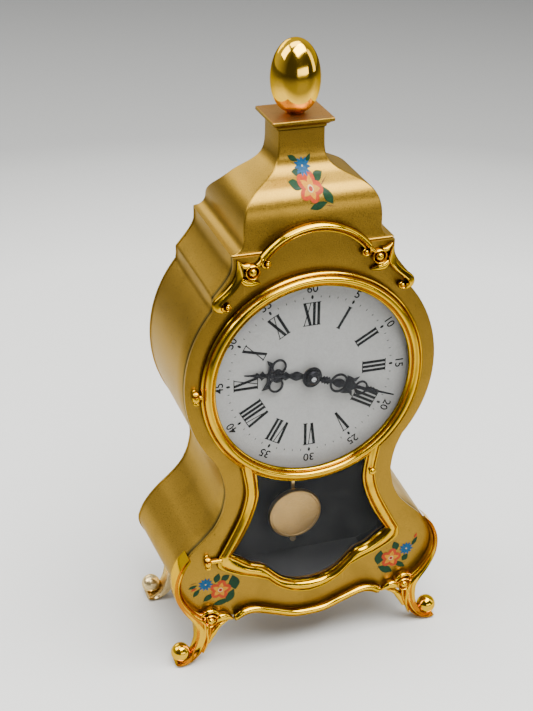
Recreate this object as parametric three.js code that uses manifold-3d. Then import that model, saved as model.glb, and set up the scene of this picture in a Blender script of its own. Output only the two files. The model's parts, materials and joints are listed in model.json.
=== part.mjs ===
// A small Louis XV style mantel clock with an eight-day spring movement, in millimetres, +Z up.
// The case front faces -Y. While the model is built, the dial's centre is x = 0, z = 0 and the
// front panel's face is y = 0; the last lines stand the finished group on z = 0 about its centre.
import * as THREE from "three";
import { mergeVertices } from "three/addons/utils/BufferGeometryUtils.js";
import Module from "manifold-3d";

const wasm = await Module();
wasm.setup();

// ---- Driving dimensions ----
const DIAL_HEIGHT = 94; // dial centre above the table
const GAP = 0.3; // clearance between touching pieces
const SHEET = 1.2; // case sheet thickness
const CASE_BACK = 40; // rear edge of the case shell

const DOOR_R_OUT = 33.8; // dial ring of the front door
const DOOR_R_IN = 29.6;
const DOOR_DEPTH = 2.8;
const PANEL_MARGIN = 4.4; // front panel left showing round the dial ring
const BODY_R = DOOR_R_OUT + PANEL_MARGIN; // round part of the case, beside the dial
const BODY_Z = 0.7; // its centre
const LEDGE = { x: 23.8, z: 40.5 }; // shoulder where the roof starts
const WAIST = { x: 26.2, z: -35 };
const HIP = { x: 41.6, z: -64 }; // widest point at the base, at the front
const HIP_FLARE = 2.6; // how much wider the hips are at the rear edge
const BOTTOM_Z = -77; // underside of the shell

const NECK_HALF = 6.8; // half width of the roof's neck
const NECK_FRONT = 12.8; // the neck's front and rear faces
const NECK_BACK = 25.5;
const HOOD_HALF = 20.4; // half width of the roof above its cove
const HOOD_TOP = 70.8;
const COVE_R = 3.2;
const CAP_HALF = 9.05;
const CAP_HALF_DEPTH = 8.1;
const CAP_TOP = 73.9;
const EGG_R = 6.9;
const EGG_H = 20.6;

const FRAME_WIDTH = 4.3; // moulding round the lower window
const GLASS_SEAT = 1.1; // how far the glass goes in behind the ring
const GLASS_SAG = 3;
const GLASS_T = 0.8;
const WINDOW_LOW_Z = -70; // lowest point of the lower pane
const HINGE_TOP = { x: -(DOOR_R_OUT + 1.5), z: -0.5 };
const HINGE_LOW = { x: -32.4, z: -57.6 };
const POST_BEAD_R = 0.95;
const PIN_R = 0.45;

const DIAL_R = DOOR_R_IN + 3.4; // its rim lies behind the ring
const DIAL_T = 0.5;
const MINUTE_HAND_LENGTH = DOOR_R_IN - 1.8;
const HOUR_HAND_LENGTH = MINUTE_HAND_LENGTH - 7.1;
const SHOWN_HOURS = 9;
const SHOWN_MINUTES = 18.5;

const RELIEF = 2.1; // height of the applied mouldings
const BEAD_WIDTH = 2.6; // width of the rounded mouldings
const LEG_DEPTH = 3.6; // how far a leg wraps back round the case
const BALL_R = 2.9;
const BALL_LIFT = 5.4; // centre of the ball above the table
const FOOT_X = 40.6;

const PLATE_R = 25.5; // movement plates
const PLATE_T = 1;
const PLATE_FRONT_Y = 6; // front face of the front plate
const PLATE_SPACE = 10; // between the plates
const PILLAR_R = 1.5;
const ARBOR_R = 0.5;
const CENTRE_R = 0.75;
const WHEEL_T = 0.8;

const BOB_R = 8.7;
const BOB_Y = 12.2; // front of the pendulum bob
const BOB_T = 2.4;
const BOB_Z = -55;
const SWING_Z = -(PLATE_R + 2.5); // pendulum pivot

const REAR_OPENING_R = 23;
const REAR_DOOR_R = 25;
const REAR_OPENING_Z = 2;
const BORE = GAP; // running clearance of a pin in its hole, on the radius

// ---- Materials ----
const finish = (color, roughness, metalness, extra = {}) =>
  new THREE.MeshStandardMaterial({ color, roughness, metalness, ...extra });
const satinGold = finish(0xb48e44, 0.5, 0.8);
const polishedGold = finish(0xe2ab36, 0.16, 1);
const brass = finish(0xc9a24e, 0.35, 1);
const steel = finish(0xb9bcc0, 0.3, 1);
const blueSteel = finish(0x2b2b2f, 0.4, 0.7);
const enamel = finish(0xd9dad8, 0.35, 0);
const glass = finish(0xf2f5f5, 0.03, 0, { transparent: true, opacity: 0.2 });
const blackCard = finish(0x161616, 0.9, 0);
const bobGold = finish(0xc7a173, 0.45, 0.9);
const paint = finish(0xd06a3c, 0.5, 0);

// ---- Helpers ----
const clock = new THREE.Group();
const V2 = (x, y) => new THREE.Vector2(x, y);
const points = (list) => list.map(([x, z]) => V2(x, z));
const mirrored = (list) => list.map((p) => V2(-p.x, p.y)).reverse();
const area = (list) => THREE.ShapeUtils.area(list);
const counterClockwise = (list) => (area(list) < 0 ? [...list].reverse() : list);

// A closed three.js geometry as a manifold-3d solid.
function solid(geometry) {
  const bare = new THREE.BufferGeometry();
  const source = geometry.index ? geometry.toNonIndexed() : geometry;
  bare.setAttribute("position", source.getAttribute("position"));
  const merged = mergeVertices(bare, 1e-4);
  return new wasm.Manifold(
    new wasm.Mesh({
      numProp: 3,
      vertProperties: merged.attributes.position.array,
      triVerts: new Uint32Array(merged.index.array),
    }),
  );
}

function geometryOf(manifold) {
  const mesh = manifold.getMesh();
  const geometry = new THREE.BufferGeometry();
  geometry.setAttribute("position", new THREE.BufferAttribute(mesh.vertProperties.slice(), 3));
  geometry.setIndex(new THREE.BufferAttribute(mesh.triVerts.slice(), 1));
  return geometry.toNonIndexed();
}

const join = (...solids) => solids.reduce((a, b) => a.add(b));
const cut = (body, ...tools) => tools.reduce((a, b) => a.subtract(b), body);

// How far the hips spread at depth y: nothing at the front, the full flare at the rear edge.
function flareAt(x, y, z) {
  const t = THREE.MathUtils.clamp((WAIST.z - z) / (WAIST.z - HIP.z), 0, 1);
  return Math.sign(x) * HIP_FLARE * (y / CASE_BACK) * t * t * (Math.abs(x) / HIP.x);
}

// An outline in the clock's XZ plane, given depth from yFront to yBack.
function plate(outline, yFront, yBack, holes = [], flared = false) {
  const shape = new THREE.Shape(counterClockwise(outline));
  for (const hole of holes) shape.holes.push(new THREE.Path(counterClockwise(hole).reverse()));
  const geometry = new THREE.ExtrudeGeometry(shape, {
    depth: yBack - yFront,
    bevelEnabled: false,
    steps: 1,
  });
  geometry.rotateX(Math.PI / 2).translate(0, yBack, 0);
  const place = geometry.getAttribute("position");
  for (let i = 0; flared && i < place.count; i++) {
    const [x, y, z] = [place.getX(i), place.getY(i), place.getZ(i)];
    place.setX(i, x + flareAt(x, y, z));
  }
  return solid(geometry);
}

// A turned piece about a line along Y through (x, z); the profile is [radius, y] pairs.
function turned(profile, segments = 24, x = 0, z = 0) {
  const outline = counterClockwise(points(profile));
  const onAxis = outline.findIndex((p, i) => {
    const before = outline[(i + outline.length - 1) % outline.length];
    return p.x === 0 && before.x === 0;
  });
  const start = Math.max(0, onAxis);
  const loop = [...outline.slice(start), ...outline.slice(0, start)];
  if (onAxis < 0) loop.push(loop[0].clone());
  return solid(new THREE.LatheGeometry(loop, segments).translate(x, 0, z));
}

// The same about a vertical line; the profile is [radius, z] pairs.
function turnedUpright(profile, segments, x, y) {
  return turned(profile, segments).rotate([90, 0, 0]).translate([x, y, 0]);
}

const rod = (r, y0, y1, segments = 12, x = 0, z = 0) =>
  turned([[0, y0], [r, y0], [r, y1], [0, y1]], segments, x, z);

const tube = (rIn, rOut, y0, y1, segments = 24, x = 0, z = 0) =>
  turned([[rIn, y0], [rOut, y0], [rOut, y1], [rIn, y1]], segments, x, z);

const ball = (r, x, y, z, rings = 10) =>
  solid(new THREE.SphereGeometry(r, rings + 4, rings).translate(x, y, z));

function circle(r, x = 0, z = 0, segments = 32) {
  const list = [];
  for (let i = 0; i < segments; i++) {
    const a = (2 * Math.PI * i) / segments;
    list.push(V2(x + r * Math.cos(a), z + r * Math.sin(a)));
  }
  return list;
}

// Points of a smooth curve through a few chosen ones.
function smooth(list, steps) {
  return new THREE.SplineCurve(points(list)).getPoints(steps);
}

// A polygon moved sideways by d at every point: outwards for d > 0 on a counter-clockwise one.
function offset(list, d, closed = true) {
  const n = list.length;
  return list.map((p, i) => {
    const a = closed ? list[(i + n - 1) % n] : list[Math.max(0, i - 1)];
    const b = closed ? list[(i + 1) % n] : list[Math.min(n - 1, i + 1)];
    const before = p.clone().sub(a).normalize();
    const after = b.clone().sub(p).normalize();
    const along = before.add(after).normalize();
    return V2(p.x + along.y * d, p.y - along.x * d);
  });
}

// A strip of a given width along a line of points, tapering to its ends if asked.
function ribbon(line, width, endShare = 1) {
  const n = line.length - 1;
  const half = (i) => {
    const t = Math.abs((2 * i) / n - 1);
    return (width / 2) * (1 - (1 - endShare) * t ** 6);
  };
  const left = offset(line, -1, false).map((p, i) => line[i].clone().lerp(p, half(i)));
  const right = offset(line, 1, false).map((p, i) => line[i].clone().lerp(p, half(i)));
  return [...right, ...left.reverse()];
}

function addPart(name, shape, material, parent = clock, at = [0, 0, 0]) {
  const geometry = geometryOf(shape);
  geometry.computeVertexNormals();
  const mesh = new THREE.Mesh(geometry, material);
  mesh.name = name;
  mesh.position.set(...at);
  parent.add(mesh);
  return mesh;
}

// ---- Case outline, right half, from the shoulder down to the bottom ----
function caseSide() {
  const arcTop = Math.asin(24 / BODY_R);
  const arcLow = -THREE.MathUtils.degToRad(39.7);
  const tier = { x: 29.4, z: 28.4 };
  const path = new THREE.Path();
  path.moveTo(LEDGE.x, LEDGE.z);
  path.bezierCurveTo(LEDGE.x, LEDGE.z - 5.5, LEDGE.x + 2, tier.z + 3, tier.x, tier.z);
  path.lineTo(BODY_R * Math.cos(arcTop), BODY_Z + BODY_R * Math.sin(arcTop));
  path.absarc(0, BODY_Z, BODY_R, arcTop, arcLow, true);
  const lowX = BODY_R * Math.cos(arcLow);
  const lowZ = BODY_Z + BODY_R * Math.sin(arcLow);
  path.bezierCurveTo(lowX - 2.2, lowZ - 2.7, WAIST.x, WAIST.z + 4, WAIST.x, WAIST.z);
  const flare = { x: HIP.x - 4.9, z: HIP.z + 9.7 };
  path.bezierCurveTo(WAIST.x, WAIST.z - 6.5, flare.x - 6.7, flare.z + 5.5, flare.x, flare.z);
  path.bezierCurveTo(flare.x + 3.4, flare.z - 3.1, HIP.x, HIP.z + 3.5, HIP.x, HIP.z);
  path.bezierCurveTo(HIP.x, HIP.z - 5, HIP.x - 3, BOTTOM_Z + 3.5, HIP.x - 7, BOTTOM_Z);
  return path.getPoints(7);
}
const side = caseSide();
const shellOutline = [...side, ...mirrored(side)];

// ---- Front panel: the outline, an arch over the dial, and the curved apron below ----
const ARCH = { r: 20.8, z: 28.5, drop: 0.6 }; // the moulding lies a little below the edge
const APRON = [[23.5, -79.6], [20.6, -78.2], [17, -78.1], [11.5, -79.9], [5, -82.2], [0, -82.6]];
const PANEL_EDGE_X = 30;

function panelOutline() {
  const top = circle(ARCH.r - 1.2, 0, ARCH.z, 48).filter((p) => p.y > LEDGE.z - 0.5 && p.x > 0);
  const right = [...top.sort((a, b) => a.x - b.x), V2(top.at(-1).x + 0.4, LEDGE.z), ...side];
  const apron = [V2(PANEL_EDGE_X, BOTTOM_Z - 1), ...smooth(APRON, 14)];
  const half = [...right, ...apron];
  const other = mirrored(half).filter((p) => Math.abs(p.x) > 1e-6);
  return [...half, ...other];
}

// Lower window's glass edge, right half, from the dial ring down to the middle.
const PANE_SIDE = [[17.1, -29.4], [16.5, -36.5], [18.2, -43.5], [21.4, -50.6], [24.9, -56.4]];
const PANE_FOOT = [[24.9, -56.4], [21.6, -58.2], [18.3, -60.6], [14.6, -61.9], [12.3, -64.2]];
const PANE_LOW = [[12.3, -64.2], [8.6, -67.6], [4.4, -69.5], [0, WINDOW_LOW_Z]];

function paneOutline() {
  const half = [
    ...smooth(PANE_SIDE, 8),
    ...smooth(PANE_FOOT, 6).slice(1),
    ...smooth(PANE_LOW, 5).slice(1),
  ];
  return [...half, ...mirrored(half).slice(1)];
}
const pane = counterClockwise(paneOutline());

function buildPanel() {
  const dialHole = circle(DOOR_R_IN + GLASS_SEAT + GAP, 0, 0, 48);
  const windowHole = plate(offset(pane, 1), -1, SHEET + 1);
  const belowDial = plate(circle(DOOR_R_OUT - 0.8, 0, 0, 48), -2, SHEET + 2);
  const sheet = plate(panelOutline(), 0, SHEET, [dialHole]);
  addPart("front_panel", cut(sheet, cut(windowHole, belowDial)), satinGold);
}

// ---- Case shell, one bent strip from shoulder to shoulder, and the roof above it ----
const SHELL_FRONT = SHEET + GAP;
const ROOF_MID = (NECK_FRONT + NECK_BACK) / 2;

function buildShell() {
  const inner = offset(shellOutline, SHEET, false);
  const strip = [...shellOutline, ...inner.reverse()];
  addPart("case_shell", plate(strip, SHELL_FRONT, CASE_BACK, [], true), satinGold);
}

// A loft through rectangles: levels are [half width, front y, rear y, z], closed top and bottom.
function rectangleLoft(levels) {
  const vertices = [];
  for (const [x, front, rear, z] of levels) {
    vertices.push(x, front, z, x, rear, z, -x, rear, z, -x, front, z);
  }
  const index = [0, 2, 1, 0, 3, 2];
  for (let k = 0; k < levels.length - 1; k++) {
    for (let c = 0; c < 4; c++) {
      const a = 4 * k + c;
      const b = 4 * k + ((c + 1) % 4);
      index.push(a, b, b + 4, a, b + 4, a + 4);
    }
  }
  const t = 4 * (levels.length - 1);
  index.push(t, t + 1, t + 2, t, t + 2, t + 3);
  const geometry = new THREE.BufferGeometry();
  geometry.setAttribute("position", new THREE.Float32BufferAttribute(vertices, 3));
  geometry.setIndex(index);
  return solid(geometry);
}

const HOOD_LOW = LEDGE.z + GAP;

// The roof's half width against height: a cove, an upright, a shoulder and the neck.
function hoodProfile() {
  const path = new THREE.Path();
  path.moveTo(LEDGE.x, HOOD_LOW);
  path.absarc(HOOD_HALF + COVE_R, HOOD_LOW + 0.2 + COVE_R, COVE_R, -Math.PI / 2, -Math.PI, true);
  path.lineTo(HOOD_HALF, HOOD_LOW + 6.5);
  path.bezierCurveTo(HOOD_HALF, 51.5, HOOD_HALF - 1.8, 55, 14.5, 57.3);
  path.bezierCurveTo(10.2, 59.6, NECK_HALF, 61.5, NECK_HALF, 67);
  path.lineTo(NECK_HALF, HOOD_TOP);
  return path.getPoints(9);
}

// The front slopes back in step with the sides; the rear stands upright, then kicks out to the case.
const KICK_TOP = LEDGE.z + 16.5;
const KICK_LOW = LEDGE.z + 3.3;
const frontFor = (x) =>
  SHELL_FRONT +
  (Math.max(0, HOOD_HALF - x) * (NECK_FRONT - SHELL_FRONT)) / (HOOD_HALF - NECK_HALF);
const rearFor = (z) =>
  CASE_BACK - (CASE_BACK - NECK_BACK) * THREE.MathUtils.smoothstep(z, KICK_LOW, KICK_TOP);

const STUD_R = 1.2;
const studHole = (r, z0, z1) =>
  turnedUpright([[0, z0], [r, z0], [r, z1], [0, z1]], 12, 0, ROOF_MID);

function buildRoof() {
  const profile = hoodProfile();
  const outer = profile.map((p) => [p.x, frontFor(p.x), rearFor(p.y), p.y]);
  const inner = [[LEDGE.x - SHEET, SHELL_FRONT + SHEET, CASE_BACK - SHEET, HOOD_LOW - 1]];
  for (const p of profile) {
    if (p.y < HOOD_TOP - SHEET && p.y > HOOD_LOW) {
      inner.push([p.x - SHEET, frontFor(p.x) + SHEET, rearFor(p.y) - SHEET, p.y - SHEET / 2]);
    }
  }
  inner.push([NECK_HALF - SHEET, NECK_FRONT + SHEET, NECK_BACK - SHEET, HOOD_TOP - SHEET]);
  const shell = cut(rectangleLoft(outer), rectangleLoft(inner), studHole(STUD_R + BORE, 60, 80));
  addPart("roof_hood", shell, satinGold);

  const capLow = HOOD_TOP + GAP;
  const capLevel = (inset, z) => [
    CAP_HALF - inset,
    ROOF_MID - CAP_HALF_DEPTH + inset,
    ROOF_MID + CAP_HALF_DEPTH - inset,
    z,
  ];
  const capSlab = rectangleLoft([
    capLevel(1.7, capLow),
    capLevel(1.5, capLow + 0.7),
    capLevel(0.9, capLow + 1.2),
    capLevel(0.1, capLow + 1.6),
    capLevel(0, CAP_TOP - 0.9),
    capLevel(0, CAP_TOP),
  ]);
  const capHole = studHole(STUD_R + BORE, capLow - 1, CAP_TOP + 1);
  addPart("cap_plate", cut(capSlab, capHole), satinGold);

  const eggLow = CAP_TOP + GAP;
  const eggProfile = [[0, eggLow]];
  const rings = 11;
  for (let i = 0; i <= rings; i++) {
    const a = (Math.PI * i) / rings;
    const wide = 1 + 0.13 * Math.cos(a);
    const z = eggLow + (EGG_H * (1 - Math.cos(a))) / 2;
    if (i > 0 && i < rings) eggProfile.push([EGG_R * Math.sin(a) * wide, z]);
  }
  eggProfile.push([0, eggLow + EGG_H]);
  const egg = turnedUpright(eggProfile, 22, 0, ROOF_MID);
  const socketTop = eggLow + 6;
  addPart("finial_egg", cut(egg, studHole(STUD_R + BORE, eggLow - 1, socketTop)), polishedGold);

  const headTop = HOOD_TOP - SHEET - GAP;
  const stud = studHole(STUD_R, headTop - 0.5, socketTop - GAP);
  const head = turnedUpright(
    [[0, headTop - 2], [2.8, headTop - 2], [2.8, headTop], [0, headTop]],
    6,
    0,
    ROOF_MID,
  );
  addPart("finial_screw", join(stud, head), steel);
}

// ---- Rear panel, its four screws and the round rear door ----
const REAR_FRONT = CASE_BACK - SHEET - 0.5;
const REAR_BACK = CASE_BACK - 0.5;
const REAR_DOOR_FRONT = REAR_BACK + GAP;
const KNUCKLE = { x: -REAR_DOOR_R - 2.6, r: 1.3, half: 4 };

function buildBack() {
  const inside = offset(shellOutline, SHEET + GAP, false);
  const capped = inside.map((p) => V2(p.x, Math.min(p.y, LEDGE.z - GAP)));
  const opening = circle(REAR_OPENING_R, 0, REAR_OPENING_Z, 40);
  const sheet = plate(capped, REAR_FRONT, REAR_BACK, [opening], true);
  const screwAt = [[19.4, 36], [-19.4, 36], [33, -68], [-33, -68]];
  const holes = screwAt.map(([x, z]) => rod(1 + BORE, REAR_FRONT - 1, REAR_BACK + 1, 10, x, z));
  const knuckleY = REAR_DOOR_FRONT + KNUCKLE.r;
  const lugs = [1, -1].map((s) => {
    const z0 = REAR_OPENING_Z + s * (KNUCKLE.half + GAP);
    const z1 = z0 + s * 3;
    const [low, high] = [Math.min(z0, z1), Math.max(z0, z1)];
    const barrel = turnedUpright(
      [[PIN_R + BORE, low], [KNUCKLE.r, low], [KNUCKLE.r, high], [PIN_R + BORE, high]],
      12,
      KNUCKLE.x,
      knuckleY,
    );
    const base = solid(
      new THREE.BoxGeometry(2 * KNUCKLE.r, 0.9, 3).translate(
        KNUCKLE.x,
        REAR_BACK + 0.35,
        (low + high) / 2,
      ),
    );
    return join(barrel, base);
  });
  const bore = turnedUpright(
    [[0, -20], [PIN_R + BORE, -20], [PIN_R + BORE, 20], [0, 20]],
    12,
    KNUCKLE.x,
    knuckleY,
  );
  addPart("rear_panel", cut(join(cut(sheet, ...holes), ...lugs), bore), satinGold);
  screwAt.forEach(([x, z], i) => {
    const screw = turned(
      [[0, REAR_BACK - 3], [1, REAR_BACK - 3], [1, REAR_BACK + GAP], [2, REAR_BACK + GAP],
        [1.7, REAR_BACK + 1.1], [0, REAR_BACK + 1.1]],
      12,
      x,
      z,
    );
    const slot = solid(
      new THREE.BoxGeometry(5, 0.8, 0.5).translate(x, REAR_BACK + 1.1, z),
    );
    addPart(`rear_panel_screw_${i + 1}`, cut(screw, slot), brass);
  });

  const pinEnd = KNUCKLE.half + 3.6;
  const pin = turnedUpright(
    [[0, REAR_OPENING_Z - pinEnd], [PIN_R, REAR_OPENING_Z - pinEnd],
      [PIN_R, REAR_OPENING_Z + pinEnd], [0, REAR_OPENING_Z + pinEnd]],
    10,
    KNUCKLE.x,
    knuckleY,
  );
  addPart("rear_door_hinge_pin", pin, steel);

  const disc = turned(
    [[0, REAR_DOOR_FRONT], [REAR_DOOR_R, REAR_DOOR_FRONT], [REAR_DOOR_R, REAR_DOOR_FRONT + 0.6],
      [REAR_DOOR_R - 1, REAR_DOOR_FRONT + 1], [0, REAR_DOOR_FRONT + 1]],
    40,
    0,
    REAR_OPENING_Z,
  );
  const leaf = solid(
    new THREE.BoxGeometry(-KNUCKLE.x - REAR_DOOR_R + 2.4, 0.8, 2 * KNUCKLE.half).translate(
      (KNUCKLE.x - REAR_DOOR_R + 2.4) / 2,
      REAR_DOOR_FRONT + 0.5,
      REAR_OPENING_Z,
    ),
  );
  const barrel = turnedUpright(
    [[0, REAR_OPENING_Z - KNUCKLE.half], [KNUCKLE.r, REAR_OPENING_Z - KNUCKLE.half],
      [KNUCKLE.r, REAR_OPENING_Z + KNUCKLE.half], [0, REAR_OPENING_Z + KNUCKLE.half]],
    12,
    KNUCKLE.x,
    knuckleY,
  );
  const knobX = REAR_DOOR_R - 4;
  const knob = turned(
    [[0, REAR_DOOR_FRONT + 0.5], [1.2, REAR_DOOR_FRONT + 0.5], [1, REAR_DOOR_FRONT + 1.6],
      [2, REAR_DOOR_FRONT + 2.4], [1.7, REAR_DOOR_FRONT + 3.2], [0, REAR_DOOR_FRONT + 3.4]],
    14,
    knobX,
    REAR_OPENING_Z,
  );
  addPart("rear_door", cut(join(disc, leaf, barrel, knob), bore), satinGold);
}

// ---- Applied mouldings on the front ----
const APPLIED_BACK = -GAP;
const APPLIED_FRONT = -GAP - RELIEF;

function spiral(cx, cz, r0, r1, a0, a1, steps) {
  const list = [];
  for (let i = 0; i <= steps; i++) {
    const t = i / steps;
    const a = THREE.MathUtils.degToRad(a0 + (a1 - a0) * t);
    const r = r0 + (r1 - r0) * t;
    list.push(V2(cx + r * Math.cos(a), cz + r * Math.sin(a)));
  }
  return list;
}

const mirrorX = (body) => body.mirror([1, 0, 0]);

function buildMouldings() {
  const r = ARCH.r - BEAD_WIDTH / 2;
  const arc = spiral(0, ARCH.z - ARCH.drop, r, r, 34, 146, 22);
  const curl = (s) => ball(1.25, s * 14.3, APPLIED_FRONT / 2 - 0.3, ARCH.z + 9.8, 6);
  const bar = plate(ribbon(arc, BEAD_WIDTH), APPLIED_FRONT, APPLIED_BACK);
  const limit = plate(circle(30, 0, 40, 8), -5, APPLIED_BACK);
  addPart("arch_moulding", join(bar, curl(1), curl(-1)).intersect(limit), polishedGold);

  // Corner scroll: a leaf down the panel's edge from a pointed tip to a curl, with an eye and a spur.
  const leaf = [
    ...smooth([[22.9, 39.6], [22.9, 36], [24.8, 32], [29.1, 28.9], [29.7, 27.2], [28.3, 25.4]], 12),
    ...smooth([[26.3, 25.3], [24.8, 26.8], [26.2, 29.4], [22.6, 32.6], [21.3, 36.4]], 8),
  ];
  const spur = points([[21.9, 34.4], [20, 33.2], [16.3, 32.1], [18.4, 35], [20.6, 36.8]]);
  const eye = rod(2.1, APPLIED_FRONT, APPLIED_BACK, 16, 18.9, 36.6);
  const pip = ball(0.9, 18.9, APPLIED_FRONT, 36.6, 6);
  const neck = points([[20.4, 35.4], [22.6, 38], [21.4, 38.8], [19.4, 37.6]]);
  const scroll = join(
    plate(leaf, APPLIED_FRONT, APPLIED_BACK),
    plate(spur, APPLIED_FRONT + 0.5, APPLIED_BACK),
    plate(neck, APPLIED_FRONT + 0.3, APPLIED_BACK),
    eye,
    pip,
  );
  const clear = cut(scroll, plate(offset(ribbon(arc, BEAD_WIDTH), GAP), -6, 1));
  const kept = clear.decompose().sort((a, b) => b.volume() - a.volume())[0];
  addPart("right_corner_scroll", kept, polishedGold);
  addPart("left_corner_scroll", mirrorX(kept), polishedGold);

  const half = smooth([...APRON].reverse(), 14);
  const line = [...mirrored(half).slice(0, -1), ...half];
  const bead = plate(ribbon(line, BEAD_WIDTH), APPLIED_FRONT, APPLIED_BACK);
  addPart("apron_moulding", bead, polishedGold);
}

// ---- Feet ----
const FLOOR_Z = -DIAL_HEIGHT;
const LEG_OUTER = [
  [38.4, -55.2], [41.3, -58.4], [43, -63.6], [42.6, -69], [40.2, -74.4], [37.2, -79.4],
];
const LEG_INNER = [[34, -75.6], [37, -71.8], [39.2, -68.2], [40.2, -64], [39.4, -60], [37.5, -56]];

// The foot's scroll: from the leg's outside edge round the ball to the flat underside and back up.
function footOutline() {
  const [heelX, heelZ] = LEG_OUTER.at(-1);
  const down = (share) => heelZ + share * (FLOOR_Z - heelZ);
  const outside = smooth(
    [[heelX, heelZ], [36.3, down(0.32)], [37.4, down(0.59)], [FOOT_X - 1, down(0.75)]],
    6,
  );
  const under = smooth([[43.2, down(0.9)], [FOOT_X + 1.4, FLOOR_Z]], 1);
  const inside = smooth(
    [[FOOT_X - 1.6, FLOOR_Z], [36.2, down(0.92)], [33.6, down(0.7)], [31.6, down(0.4)]],
    6,
  );
  return { outside, under, inside };
}

function buildFeet() {
  const { outside, under, inside } = footOutline();
  const spur = smooth([[31.6, inside.at(-1).y], [29, -82], [25.1, -80.6]], 4);
  const spurTop = smooth([[25.1, -79], [27.6, -77.2], [29.8, -78.2]], 3);
  const outline = [
    ...smooth(LEG_OUTER, 12),
    ...outside.slice(1),
    ...under,
    ...inside,
    ...spur.slice(1),
    ...spurTop,
    ...smooth(LEG_INNER, 10),
  ];
  const ballAt = [FOOT_X + 0.5, APPLIED_FRONT + 2.6, FLOOR_Z + BALL_LIFT];
  const wrap = [...offset(shellOutline, -GAP, false), V2(-60, 60), V2(60, 60)];
  const keepOut = plate(wrap, APPLIED_BACK, 20, [], true);
  const apronBox = plate(offset(counterClockwise(panelOutline()), GAP), APPLIED_BACK, 3);
  const leg = cut(
    join(plate(outline, APPLIED_FRONT, LEG_DEPTH), ball(BALL_R, ...ballAt)),
    keepOut,
    apronBox,
  );
  const eye = rod(1.9, APPLIED_FRONT - 0.8, APPLIED_BACK, 14, 31.9, -78.4);
  const right = join(leg, eye).decompose().sort((a, b) => b.volume() - a.volume())[0];
  addPart("right_front_leg", right, polishedGold);
  addPart("left_front_leg", mirrorX(right), polishedGold);

  // Rear feet: the same scroll with a plain top tucked under the case.
  const rearTop = [V2(33, BOTTOM_Z - GAP), V2(38, BOTTOM_Z - GAP)];
  const rearOutline = [...rearTop, ...outside, ...under, ...inside];
  const rearBall = ball(BALL_R, ballAt[0], CASE_BACK - 2, ballAt[2]);
  const rearLeg = join(plate(rearOutline, CASE_BACK - 7, CASE_BACK - 1), rearBall);
  const rear = cut(rearLeg, plate(wrap, 0, CASE_BACK + 5, [], true));
  addPart("right_rear_foot", rear, polishedGold);
  addPart("left_rear_foot", mirrorX(rear), polishedGold);
}

// ---- Painted transfers ----
function buildDecals() {
  const oval = (x, z, rx, rz, turn) => {
    const c = Math.cos(turn);
    const s = Math.sin(turn);
    return circle(1, 0, 0, 16).map((p) => {
      const u = p.x * rx;
      const v = p.y * rz;
      return V2(x + u * c - v * s, z + u * s + v * c);
    });
  };
  const lower = plate(oval(29.2, -68.6, 7.6, 4.6, 0.45), -GAP - 0.2, -GAP);
  addPart("right_decal", lower, paint);
  addPart("left_decal", plate(oval(-29.6, -68.6, 8, 4.6, -0.2), -GAP - 0.2, -GAP), paint);
  // The top one follows the curved face of the roof.
  const face = hoodProfile()
    .filter((p) => p.y > 52 && p.y < 66.5)
    .map((p) => V2(frontFor(p.x), p.y));
  const strip = [...offset(face, -GAP, false), ...offset(face, -GAP - 0.25, false).reverse()];
  const shape = new THREE.Shape(counterClockwise(strip));
  const band = new THREE.ExtrudeGeometry(shape, { depth: 10, bevelEnabled: false, steps: 1 });
  const turnedBand = solid(
    band.applyMatrix4(
      new THREE.Matrix4().set(0, 0, 1, -5, 1, 0, 0, 0, 0, 1, 0, 0, 0, 0, 0, 1),
    ),
  );
  addPart("top_decal", turnedBand, paint);
}

// ---- Front door: ring and window frame in one casting, two panes, a knob and two hinges ----
const DOOR_FRONT = -GAP - DOOR_DEPTH;
const hingeDirection = V2(HINGE_TOP.x - HINGE_LOW.x, HINGE_TOP.z - HINGE_LOW.z).normalize();
const PIN_Y = -1.5;
const EYE_HALF = 0.9;

// A post's local frame: its pin runs up the tilted hinge line through (x, z).
function along(profile, segments, at) {
  const tilt = THREE.MathUtils.radToDeg(Math.atan2(hingeDirection.x, hingeDirection.y));
  return turned(profile, segments).rotate([90, 0, 0]).rotate([0, tilt, 0]).translate([at.x, PIN_Y, at.z]);
}

function hingePost(at) {
  const reach = EYE_HALF + GAP + POST_BEAD_R;
  const pin = along([[0, -reach], [PIN_R, -reach], [PIN_R, reach], [0, reach]], 10, at);
  const beads = [1, -1].map((s) => {
    const x = at.x + s * reach * hingeDirection.x;
    const z = at.z + s * reach * hingeDirection.y;
    const stem = rod(0.55, PIN_Y, -GAP, 8, x, z);
    return join(ball(POST_BEAD_R, x, PIN_Y, z, 6), stem);
  });
  return join(pin, ...beads);
}

function hingeArm(at, toX) {
  const r = PIN_R + BORE;
  const eye = along([[r, -EYE_HALF], [r + 0.6, -EYE_HALF], [r + 0.6, EYE_HALF], [r, EYE_HALF]], 14, at);
  const reach = toX - at.x - r;
  const arm = solid(
    new THREE.BoxGeometry(reach, 0.9, 1.2).translate(at.x + r + reach / 2, PIN_Y, at.z),
  );
  return join(eye, arm);
}

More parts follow.
